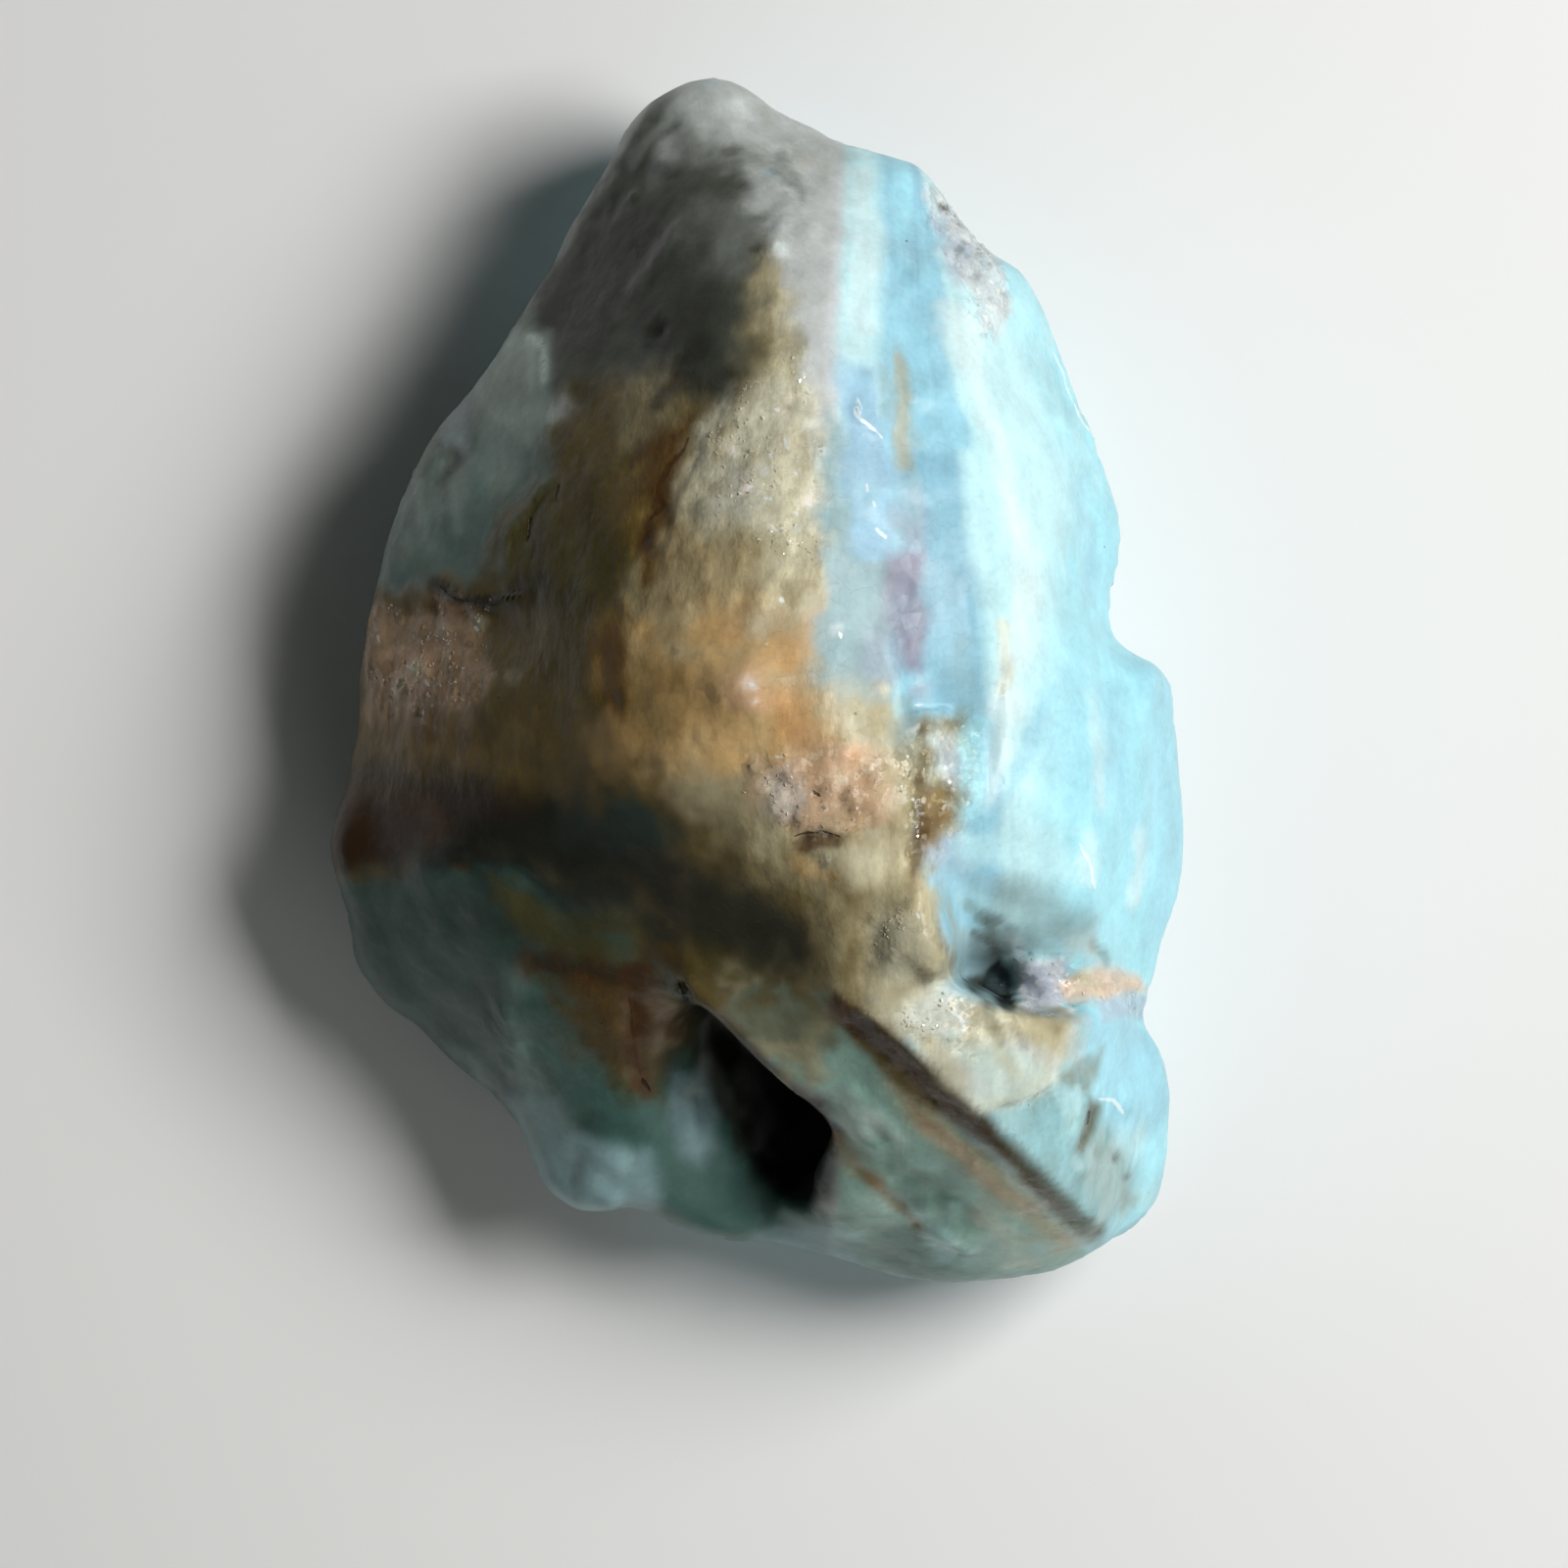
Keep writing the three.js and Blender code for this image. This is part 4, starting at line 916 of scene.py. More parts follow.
lines(
    ("orange", [(-20.6, 5.1), (-18, 4.2)], 0.8, 0.3),
    # Painted shadow: the two soot lines below lie where the ledge casts its shade.
    ("soot", [(-20.5, 6.1), (-18.6, 5.3), (-16.6, 5)], 0.8, 0.8),
    ("soot", [(-17.6, 5.1), (-15.4, 5.1), (-13.4, 5.9)], 1.5, 0.6),
    # partly painted shade under the brow
    ("soot", [(-18, -8.8), (-13, -9.2), (-8, -11.6), (-4, -13.6)], 2.2, 0.4),
    # Painted shadow: the black line below lies under the lobe's overhang.
    ("black", [(-20.5, -11.5), (-18, -11.4), (-16, -12), (-13.8, -13), (-11.4, -14.4)], 1.4, 0.75),
)
crisp(
    ("rust", [(-30, -6.6), (-21.2, -6.6), (-19.2, -9), (-21.4, -11.2), (-30, -12.2)], 1.1, 0.9),
    ("black", [(-30, -8), (-24, -7.4), (-20.6, -9.4), (-21.8, -11.2), (-30, -12.6)], 1.6, 0.45),
    ("rust", [(-21, -6.2), (-15, -6.4), (-14, -8), (-20, -9.4)], 1.8, 0.35),
    # The black and soot below are partly painted shade, on the face under the brow.
    ("black", [(-20.6, -6.8), (-15, -6.6), (-8, -8.4), (-6, -10.6), (-10, -12), (-18, -10.4)], 1.8, 0.35),
    ("soot", [(-4, -13), (0, -13.4), (3, -15.4), (3.2, -18), (0, -17.8), (-4, -15.8)], 1.8, 0.8),
)
spots(
    ("rust", -23.5, -13, 0.8, 0.4), ("sand", -15.2, 0.4, 0.8, 0.5), ("olive", -17, 1.6, 1.4, 0.5),
    # The peach and cream spots below are painted highlights: the glitter of the sugary patch's crystals.
    ("peach", -21.6, 0.6, 2.2, 0.7), ("cream", -21.4, 0.8, 1.2, 0.8), ("cream", -22.8, -0.4, 1.1, 0.6),
    ("cream", -17.6, 3.6, 0.9, 0.5),
    ("cream", -19.8, 3.4, 0.9, 0.35), ("rust", -20.6, -2.6, 1.8, 0.4), ("rust", -18.2, -3.4, 1.6, 0.4),
)
tell("dark face")

# %% Lobe and hollow, with painted shade in the hollow
areas(
    ("dark_teal", [(-30, -12.2), (-16, -12.2), (-11.4, -14.2), (-8, -17), (-14, -17.6), (-17, -22),
                   (-30, -22)], 2.4, 0.85),
    ("dark_teal", [(-30, -19), (-16.8, -19), (-15.8, -24), (-14.8, -28), (-16, -32), (-30, -32)], 1.4, 0.75),
    ("soot", [(-18, -12.6), (-13, -13.4), (-10, -15.4), (-13.6, -16.4), (-18, -15)], 1.6, 0.5),
    ("olive", [(-17, -12.6), (-11.4, -14.2), (-6, -17.4), (-6.8, -19.4), (-12, -17.6), (-16, -15)], 0.9,
     0.75),
    ("slab", [(-19, -24), (-15.2, -24), (-12, -28), (-11, -34), (-16, -34), (-20, -28)], 2.0, 0.3),
    ("olive", [(-14.4, -17.4), (-9, -17.8), (-4.6, -18.8), (-4.4, -22), (-6, -26.4), (-8.4, -26.6),
               (-12, -22.6)], 1.8, 0.9),
    ("umber", [(-13.4, -18.4), (-9, -18.8), (-5, -19.8), (-4.8, -22), (-6.2, -26), (-8.4, -26),
               (-11.6, -22.4)], 1.4, 0.4),
    ("rust", [(-14.6, -17.4), (-9, -17.8), (-4.6, -18.8), (-4.4, -22), (-6.4, -25), (-8.8, -24.6),
              (-12.4, -21.6)], 2.2, 0.65),
    ("flesh", [(-6.8, -19.8), (-5, -19.6), (-4.8, -23.2), (-6.2, -24)], 0.8, 0.25),
    ("dark_teal", [(-3, -31.6), (1, -33.4), (6, -35), (8, -38), (2, -40), (-4, -37)], 1.4, 0.35),
    ("dark_teal", [(-11.4, -27.6), (-7.4, -28.4), (-6.4, -29.8), (-10.4, -29.2)], 0.8, 0.5),
    # Painted shade on the hollow's upper slope, where the rib shades it.
    ("soot", [(-4.6, -19.4), (-1.6, -21.4), (-0.8, -28), (0.6, -31.6), (-1, -31.6), (-2.4, -28),
              (-4.8, -24)], 0.9, 0.75),
)
crisp(
    ("mist", [(-14.6, -30.2), (-11, -29), (-7, -29.8), (-5.8, -32.4), (-6.2, -33.6), (-9, -34.4),
              (-14, -33.6)], 1.4, 0.8),
    ("mist", [(-16.4, -26), (-12.6, -26.6), (-11.4, -29.6), (-13.4, -31.6), (-16.6, -30)], 1.6, 0.55),
    ("mist", [(-4.8, -25), (-3.4, -25.2), (-2.7, -27.4), (-2.4, -29.4), (-3.4, -30.6), (-4.8, -29.9),
              (-5.5, -27.6)], 1.6, 0.9),
    ("mist", [(-4.8, -25), (-3.4, -25.2), (-2.9, -27), (-4.2, -27.8), (-5.2, -26.8)], 1.0, 0.6),
    ("mist", [(0, -35.2), (5, -34.4), (7.6, -36), (6.4, -38.6), (0, -38.4)], 1.6, 0.55),
    ("dark_teal", [(8, -34.8), (11.6, -34.6), (13, -36.8), (10.4, -38.8), (7.8, -37.6)], 1.2, 0.5),
    # Painted shade: the deep hollow under the rib is painted black.
    ("black", [(-3.8, -20), (-1.6, -21.7), (0.2, -23.7), (2, -25), (4.6, -26.3), (5.8, -28.3), (5.2, -30),
               (4.8, -32.4), (4.4, -33.4), (2.2, -33.4), (0.2, -31.6), (-0.8, -29), (-1.8, -26),
               (-3.2, -23.5)],
     1.6, 1.0),
)
lines(
    ("rust", [(-14.4, -18), (-10.6, -18.5), (-7.4, -18.7)], 1.3, 0.75),
    ("soot", [(-13.6, -17.8), (-10.6, -18.2), (-7.4, -18.5)], 1.0, 0.55),
    ("rust", [(-7.8, -18.4), (-7.5, -21), (-7.6, -23.6), (-7, -25.6)], 1.3, 0.85),
    ("dark_teal", [(-17.6, -18.8), (-16.8, -22), (-16.4, -25), (-16, -27.8)], 1.3, 0.45),
    ("slab", [(-15.7, -18.8), (-15.2, -22), (-14.7, -25), (-14, -27.8)], 1.8, 0.14),
)
spots(("snow", -3.9, -26.0, 0.9, 0.7), ("sea", -20, -27, 2.6, 0.4))
tell("lobe and hollow")

# %% Groove and rib, with painted shade on the groove's wall
# The groove's steep wall under its sharp edge, which faces away from the light.
SHADED_GROOVE_WALL = [
    (5, -19.6), (8.4, -21.9), (12.4, -25.6), (16.7, -29.6), (22.2, -35), (21.6, -35.3), (16, -30.3),
    (11.6, -26.4), (7.8, -23.2), (4.6, -21)]

areas(
    ("umber", [(-3, -19.6), (1, -18.6), (5, -20.2), (6, -22.6), (3.8, -25.4), (0.6, -23.2)], 0.9, 0.75),
    ("sand", [(0.6, -22.6), (4, -22.4), (5.6, -25), (4.2, -26), (1.4, -24.4)], 0.8, 0.6),
    ("slab", [(4.8, -25.6), (7.2, -26), (9.8, -29.6), (9, -30.6), (6.4, -28.8)], 0.8, 0.75),
    ("sea", [(7, -33), (12, -35.4), (18, -38), (12, -42), (5, -38)], 1.3, 0.6),
    ("dark_teal", [(8.2, -29.6), (12.6, -31.8), (13.4, -34.4), (9, -32.8)], 0.8, 0.45),
    ("milk", [(10.2, -33.4), (12.6, -34.2), (14.2, -36.2), (12, -35.8)], 0.9, 0.65),
    ("cream", [(14.4, -32.4), (17.4, -35), (18.6, -37), (15.6, -35.4)], 0.9, 0.45),
)
crisp(
    ("sand", [(7.4, -23), (10.6, -25.4), (14, -29), (18, -32.8), (21.4, -35.8), (19.4, -36.2), (15.4, -32.8),
              (12, -30), (9, -27)], 1.6, 0.8),
    ("flesh", [(9.4, -26), (12, -28.2), (15, -31.4), (18, -33.8), (13.6, -31.2), (10.6, -28.4)], 0.9, 0.6),
    ("umber", [(9.2, -25.8), (11.6, -27.8), (12.4, -29.4), (10.2, -27.8)], 0.9, 0.5),
    # Partly painted shade: the umber band and the soot and rust on the wall lie where the groove's edge
    # shades it.
    ("umber", [(4.6, -19.8), (7, -20.4), (11, -24.2), (14.2, -27.4), (17.4, -30.8), (21.6, -35.2),
               (20.8, -35.4), (16.8, -31.6), (12.8, -28), (9.4, -25.8), (6.2, -22.8)], 0.9, 0.95),
    ("soot", SHADED_GROOVE_WALL, 0.6, 0.85),
    ("rust", SHADED_GROOVE_WALL, 0.8, 0.85),
)
lines(
    # Partly painted shade: the olive and black lines along the groove's floor.
    ("olive", [(11.6, -25.8), (14.6, -28.6), (18, -31.9), (21.6, -35.4)], 0.9, 0.4),
    ("black", [(6.4, -21), (8.8, -22.9), (11.6, -25.6), (14.4, -28.2), (17.6, -31.3)], 0.7, 0.3),
    ("ochre", [(5.4, -28.8), (6.6, -30.8), (7.6, -31.8)], 1.2, 0.8),
    ("ochre", [(7.2, -31.4), (8.8, -33), (10.4, -34.5)], 0.7, 0.6),
)
spots(("olive", 10.3, -34.5, 0.5, 0.6), ("olive", 13.2, -36.4, 0.5, 0.6), ("sand", 4.6, -21.4, 1.2, 0.3),
      ("olive", -1.6, -18.7, 1.6, 0.9), ("olive", -2.6, -17.9, 1.4, 0.6))
tell("groove and rib")

# %% Lump and pocket, with painted shade in the pocket
crisp(
    ("sand", [(6.6, -20.4), (8.4, -19.4), (10.4, -19), (10.6, -21.4), (9.4, -22.8), (8.2, -21.8)], 0.7, 0.9),
    ("cream", [(8.4, -21.2), (10.4, -18.8), (13, -19.6), (18, -20.6), (20.2, -22), (19, -25.2), (17, -26.4),
               (14.2, -27.2), (11, -24.2)], 1.3, 1.0),
    ("slab", [(12.2, -22.6), (15.6, -22.8), (19.4, -24), (18.6, -26), (14.2, -27)], 1.6, 0.7),
    ("sand", [(10.6, -22.4), (13.2, -22), (17.6, -25), (15.4, -27), (11.6, -25)], 1.6, 0.6),
    ("sand", [(17, -20.8), (20.4, -21.8), (20.2, -24), (18, -24.2), (16.8, -22.4)], 1.2, 0.6),
    ("teal", [(17, -26.8), (20, -26.4), (21, -29), (18.6, -31), (16, -29)], 1.4, 0.45),
    ("teal", [(14.2, -27.4), (16.6, -26.6), (19, -25.4), (21.6, -26.4), (23.4, -29), (24.4, -33), (21.4, -36),
              (17.4, -31)], 1.4, 0.65),
    # Painted shade: the grey mist band under the aqua block's brow, where the pocket faces away from
    # the light.
    ("mist", [(11.6, -12), (16, -12.4), (20, -13.8), (24, -17.2), (22, -18.6), (17, -18), (14, -19.8),
              (11.2, -19.4), (12.4, -17.4)], 2.4, 0.45),
)
areas(
    ("slab", [(12.4, -22.4), (15, -22.4), (18.6, -24), (16.6, -26), (14.2, -26.2)], 0.8, 0.75),
    ("sand", [(14.6, -19.8), (20, -21.2), (21, -22.6), (18.6, -23.4), (16.6, -22.6), (14, -21.4)], 0.6, 0.75),
    ("umber", [(16.4, -20.4), (19.8, -21.4), (20.4, -22.6), (18, -22.2)], 0.7, 0.5),
    ("sky", [(20.4, -21.2), (26.6, -21), (27, -28), (23.4, -30), (22, -26.4), (21.6, -24)], 0.8, 0.8),
    ("aqua", [(16.6, -27), (20, -26), (20.6, -29.4), (18.6, -31), (16, -29)], 0.9, 0.5),
    ("sky", [(11.8, -12.8), (14, -13), (14.4, -15), (12.8, -17.6), (12.2, -16)], 0.6, 0.7),
    # The mist, teal and slate below are painted shade under the block's brow.
    ("mist", [(12.8, -12.2), (17, -13), (22.4, -16.2), (21, -17.8), (16.6, -16.8), (13.4, -14.8)], 1.6, 0.35),
    ("teal", [(14.6, -13.6), (18, -14.2), (20.6, -16), (17.6, -15.4)], 1.0, 0.25),
    ("slate", [(13.8, -15), (15.8, -15.6), (15.6, -16.8), (13.8, -16.4)], 1.4, 0.4),
    ("lilac", [(16.2, -17.8), (19.4, -17.8), (19.6, -20.2), (16.6, -20.6)], 0.5, 1.0),
    ("flesh", [(19.6, -15.8), (21.6, -16.6), (22.4, -18), (19.8, -17.8)], 0.6, 0.3),
    ("slab", [(20, -29), (24.4, -29), (24.6, -33), (21.6, -33.6)], 1.4, 0.45),
    ("olive", [(21.8, -29.4), (23.6, -30.4), (24, -32.4), (23, -33.2), (23.2, -31.2)], 0.7, 0.3),
    ("pearl", [(19.4, -22), (20.8, -22.2), (21.2, -24.2), (19.6, -24.6)], 0.8, 0.5),
)
crisp(
    ("mist", [(12.4, -15.4), (16, -15.6), (16.8, -18), (15.4, -20.6), (13.2, -20), (12.4, -18)], 1.2, 0.8),
    # Painted shade: the slate, soot and black in and around the pocket's deep gap.
    ("slate", [(13.6, -16.2), (15.8, -15.8), (16.2, -17.8), (14.8, -18.2), (13.6, -17.4)], 1.4, 0.5),
    ("slate", [(13, -18.8), (14.8, -18.2), (15, -19.6), (13.4, -19.6)], 1.0, 0.7),
    ("soot", [(12.9, -18.9), (14.4, -18.5), (14.9, -19.6), (13.4, -19.4)], 0.5, 0.8),
    ("black", [(14.3, -19), (14.9, -17.8), (15.6, -17.2), (16.2, -18.2), (16.5, -20.5), (15.5, -20.6)], 0.6,
     1.0),
    ("pearl", [(16.5, -17.6), (19.2, -17.6), (19.8, -19.8), (18.6, -20.6), (16.8, -20.4)], 0.6, 1.0),
    ("lilac", [(16.9, -17.8), (18.9, -17.8), (19.2, -20.2), (17.2, -20.2)], 0.8, 0.6),
    ("peach", [(19.2, -19.2), (21.6, -18), (24.4, -18.6), (25, -19.6), (22, -20.1), (19.8, -20)], 0.9, 0.8),
    ("cream", [(19.8, -18.9), (21.2, -18.3), (21.4, -19.2), (20.2, -19.6)], 0.8, 0.4),
    ("lilac", [(21.6, -20), (25.4, -19.7), (25.2, -21.2), (22, -21.4)], 0.5, 0.6),
    ("umber", [(19.2, -24.9), (20.5, -24.3), (21.9, -23), (21.6, -24.6), (21, -26.1), (20.1, -25.7)], 0.9,
     0.7),
    ("olive", [(21.2, -26), (21.9, -26.8), (21.5, -28.2), (20.7, -29.6), (20.2, -29.3), (20.9, -27.8)], 0.7,
     0.85),
    ("milk", [(19.4, -26.4), (20.6, -26.6), (20.4, -28.4), (19.4, -28.6)], 0.9, 0.5),
    ("snow", [(9.4, -21.6), (9.8, -20.4), (11.6, -19.4), (13, -20.6), (13.2, -22.4), (11.6, -22.4)], 0.8,
     0.5),
    ("ice", [(18.6, -25.6), (20.4, -25.6), (20.6, -27), (19.4, -28)], 0.7, 0.6),
)
lines(
    ("slab", [(12.4, -22.6), (16.2, -26.4)], 1.2, 0.6),
    ("pearl", [(11.6, -23), (14.2, -25.8)], 0.7, 0.25),
    ("sand", [(13.8, -20.8), (14.9, -23), (16.4, -24.6)], 0.8, 0.5),
    ("pearl", [(15.8, -22.4), (18.8, -24)], 0.9, 0.5),
    ("cream", [(15.2, -20.8), (16, -22.6)], 0.6, 0.6),
    ("olive", [(14.2, -20.2), (14.7, -21.6), (15.3, -22.8)], 0.7, 0.6),
    ("olive", [(16.2, -21.4), (16.8, -22.8)], 0.5, 0.4),
    ("sand", [(20.3, -18.8), (21.6, -19.3)], 0.6, 0.6),
    # Painted shadow under the pearl block.
    ("slate", [(14.2, -20.3), (17, -20.7), (19, -20.9)], 0.5, 0.5),
    ("olive", [(21.4, -16.8), (22.2, -17.8)], 0.8, 0.5),
    ("milk", [(12.8, -13.6), (15.4, -14.6), (17.6, -15.6)], 1.3, 0.25),
    # Painted shade: the slate and teal lines from the block's brow down to the gap.
    ("slate", [(13.8, -15.9), (14.6, -16.3), (15.2, -17)], 0.5, 0.6),
    ("slate", [(14.2, -14.9), (15.4, -15.2)], 0.6, 0.5),
    ("pearl", [(16.3, -16.2), (16.8, -17.3)], 0.6, 0.5),
    ("teal", [(13.4, -14.2), (14.6, -14.9), (15.2, -16.2)], 0.7, 0.5),
    ("slate", [(14.8, -15.4), (15.1, -17.2)], 0.7, 0.4),
    ("slate", [(16.2, -15.8), (15.7, -17.4)], 0.6, 0.35),
    ("teal", [(15.6, -13.2), (18.4, -14.2), (20.4, -15.4)], 1.6, 0.25),
)
spots(
    ("olive", 22.8, -30.2, 0.5, 0.6),
    ("snow", 19.9, -20.7, 0.5, 0.8), ("olive", 23.7, -31.5, 0.5, 0.5), ("umber", 19.8, -25.2, 0.9, 0.4),
    ("snow", 20.4, -30.4, 0.9, 0.35), ("umber", 10.7, -18.7, 0.6, 0.6),
)
tell("lump and pocket")

# %% Brown crystals beside the ice
areas(
    ("sand", [(9.4, -2), (11.4, -1.8), (13.4, -2.6), (13.6, -6), (13, -9), (11.6, -12.6), (9.8, -12.6),
              (9.2, -6)], 1.0, 0.8),
    ("mist", [(8.8, -2), (11, -1.8), (11, -3.4), (9.6, -4.8), (8.8, -4)], 0.6, 0.6),
    ("lilac", [(10.6, -10), (12.4, -10), (12.6, -12), (11.2, -13.6)], 1.0, 0.6),
)
crisp(
    ("pearl", [(11.2, -3), (12.4, -3.4), (13.2, -5.4), (13, -6.4), (11.9, -6.9), (11.2, -5.6)], 0.9, 0.6),
    ("lilac", [(11.6, -4.6), (12.8, -4.8), (13, -6.2), (12, -6.6)], 0.7, 0.5),
    ("ochre", [(10.5, -6.6), (11.6, -6.9), (13, -7.2), (13.2, -8.4), (12, -9.2), (11.2, -10.2),
               (10.4, -9.8)], 0.8, 0.8),
    ("umber", [(11.6, -2.2), (14.2, -2.6), (14, -3.3), (12.2, -3.1)], 0.5, 0.6),
)
lines(
    ("umber", [(10.6, -2.4), (10.3, -5), (10.2, -8), (10.2, -12.8)], 0.9, 0.5),
    ("rust", [(10.3, -7.6), (10.5, -9.2), (10.1, -12.4)], 0.7, 0.5),
    ("rust", [(10.5, -8.7), (11.5, -8.9)], 0.5, 0.7),
    ("umber", [(11.6, -7), (11.4, -8.4), (11, -10)], 1.4, 0.5),
    ("mist", [(11, -3.6), (11.6, -4.8), (12, -6.2)], 1.2, 0.3),
    ("aqua", [(14, -3.4), (13.8, -5.6), (13.4, -7.6)], 1.8, 0.7),
    ("umber", [(11.2, -6.6), (12.2, -6.9), (13, -7.4)], 0.9, 0.5),
    ("umber", [(10.4, -2.6), (10.5, -5), (10.2, -7.6)], 0.6, 0.5),
)
spots(
    ("rust", 10.5, -3.2, 0.7, 0.6), ("umber", 11.2, -2.9, 0.8, 0.6), ("umber", 10.9, -4.8, 0.9, 0.6),
    ("rust", 10.1, -6.3, 0.7, 0.7), ("slate", 10.4, -8.2, 0.6, 0.7), ("rust", 10.7, -9.4, 1.0, 0.8),
    ("umber", 9.8, -10.8, 0.7, 0.6), ("rust", 10.3, -11.8, 0.7, 0.7), ("cream", 9.5, -4.2, 0.6, 0.6),
    ("cream", 9.4, -7.4, 0.6, 0.6), ("rust", 9.6, -14.0, 0.6, 0.4), ("cream", 11.0, -6.2, 0.5, 0.5),
)
tell("brown crystals")

# %% [markdown]
# ## Layers through the stone
#
# The white layers don't stop at the rim: on every broken side of such a stone they show again, as
# the edges of sheets that stand on edge through all of it. They are noise that is stretched along
# the stone and down into it, so that it makes sheets, with bends, and each of its values has a
# colour. Towards the smoky side they turn dark, and rust has seeped in here and there.

# %% Layers under the rim
LAYER_TILT = np.array((0.86, 0.16, 0.48))   # across the layers, which stand on edge along the stone
LAYER_BEND = 3.0                            # mm by which noise bends them
LAYER_BEND_SIZE = 14
LAYER_SIZE = 2.4
LAYER_LENGTH = 9                            # times as long as they are thick, along and down the stone
LAYER_COLOURS = ((-0.7, "deep_sky"), (-0.25, "sky"), (0.1, "aqua"), (0.5, "ice"), (0.8, "snow"))
SMOKY_FROM = -4                             # x in mm from which the stone turns smoky towards the left
SMOKY_SOFT = 10                             # mm over which it does
SMOKY_BEND = 9                              # mm by which noise bends that border
RUSTY_SHARE = (0.35, 0.4)                   # of rust in a patch, and more of it where it is smoky
SMOKY_DARK = 0.4                            # how dark the smoky rock's teal is, and the rusty rock's ochre
RUSTY_DARK = 0.7
SMOKY_SHARE = 0.85
DARKEST = 0.002
LIGHTEST = 0.95
FRONT_REACH = 8.0                           # mm under the rim over which the front's paint runs out
FRONT_BREAK = 0.3                           # share of that reach by which noise breaks its border up
OPEN_INSIDE = (2, 3)                        # an inner wall keeps the front's paint: from so many mm
OPEN_HEIGHT = (4, 4)                        # inside the rim, over so many more; the same for its
OPEN_FACING = (-0.4, 0.4)                   # height, and for the upward share of its normal

x, y, z = points.T / MM
across = points / MM @ LAYER_TILT + LAYER_BEND * rough_noise(points, LAYER_BEND_SIZE * MM, 211)
layer_place = np.stack([across, y / LAYER_LENGTH, z / LAYER_LENGTH], axis=1)
inside = blended(rough_noise(layer_place, LAYER_SIZE, 221), LAYER_COLOURS)
smoky = fade((SMOKY_FROM - x + SMOKY_BEND * rough_noise(points, 12 * MM, 231)) / SMOKY_SOFT)
rusty = fade((rough_noise(points, 9 * MM, 241) - 0.12) / 0.3) * (RUSTY_SHARE[0] + RUSTY_SHARE[1] * smoky)
inside += (PALETTE["teal"] * SMOKY_DARK - inside) * (SMOKY_SHARE * smoky)[:, None]
inside += (PALETTE["ochre"] * RUSTY_DARK - inside) * rusty[:, None]
over_rim = (points[:, 2] - height_of_rim) / (FRONT_REACH * MM)
front = fade(over_rim + 1 + FRONT_BREAK * rough_noise(points, 3 * MM, 251))
open_above = 1
for value, (start, soft) in ((from_rim / MM, OPEN_INSIDE), (z, OPEN_HEIGHT), (normals[:, 2], OPEN_FACING)):
    open_above = open_above * fade((value - start) / soft)
front = np.maximum(front, open_above)
tint = np.clip(inside + (tint - inside) * front[:, None], DARKEST, LIGHTEST)
tell("layers")
print("share of the front's paint:", round(float(front.mean()), 2))

# %% [markdown]
# ## Cracks, rust veins, white edges and painted glints
#
# Thin marks would blur if they were painted from vertex to vertex. For these the stone stores how
# far each vertex is from the nearest mark, positive on one side and negative on the other. That
# distance changes evenly between vertices, so that the material can tell to a fraction of a
# millimetre where a mark runs. Each kind of mark also stores half its width, which is less towards
# a mark's ends.

# %% Thin marks
CRACKS = (
    # The first crack is drawn where the ledge's shadow falls, as painted shadow.
    ([(-20.4, 6.2), (-18.6, 5.3), (-16.8, 4.9)], 0.06),  # under the ledge
    ([(-14.2, 10.6), (-14.3, 8.6)], 0.07), ([(-12.3, 12.2), (-12.6, 11.1)], 0.07),
    ([(-4.9, -18.7), (-4.6, -19.6), (-4.1, -20.4)], 0.12), ([(-7.2, -25), (-6.5, -26)], 0.08),
    ([(2.4, -10), (3.2, -9.7), (4.4, -9.6), (5.4, -9.9)], 0.05),  # small open mouth
    ([(3.3, -7), (3.9, -7.3)], 0.14),
    ([(21.2, -26.8), (21, -28)], 0.05),
)
VEINS = (
    ([(-4, 15.2), (-5.4, 13.4), (-5.9, 12), (-5.6, 10.8), (-6.6, 9.8)], 0.18),
    ([(-8, -19.4), (-7.8, -21.6), (-7.6, -23.6), (-7, -25.6)], 0.12),
)
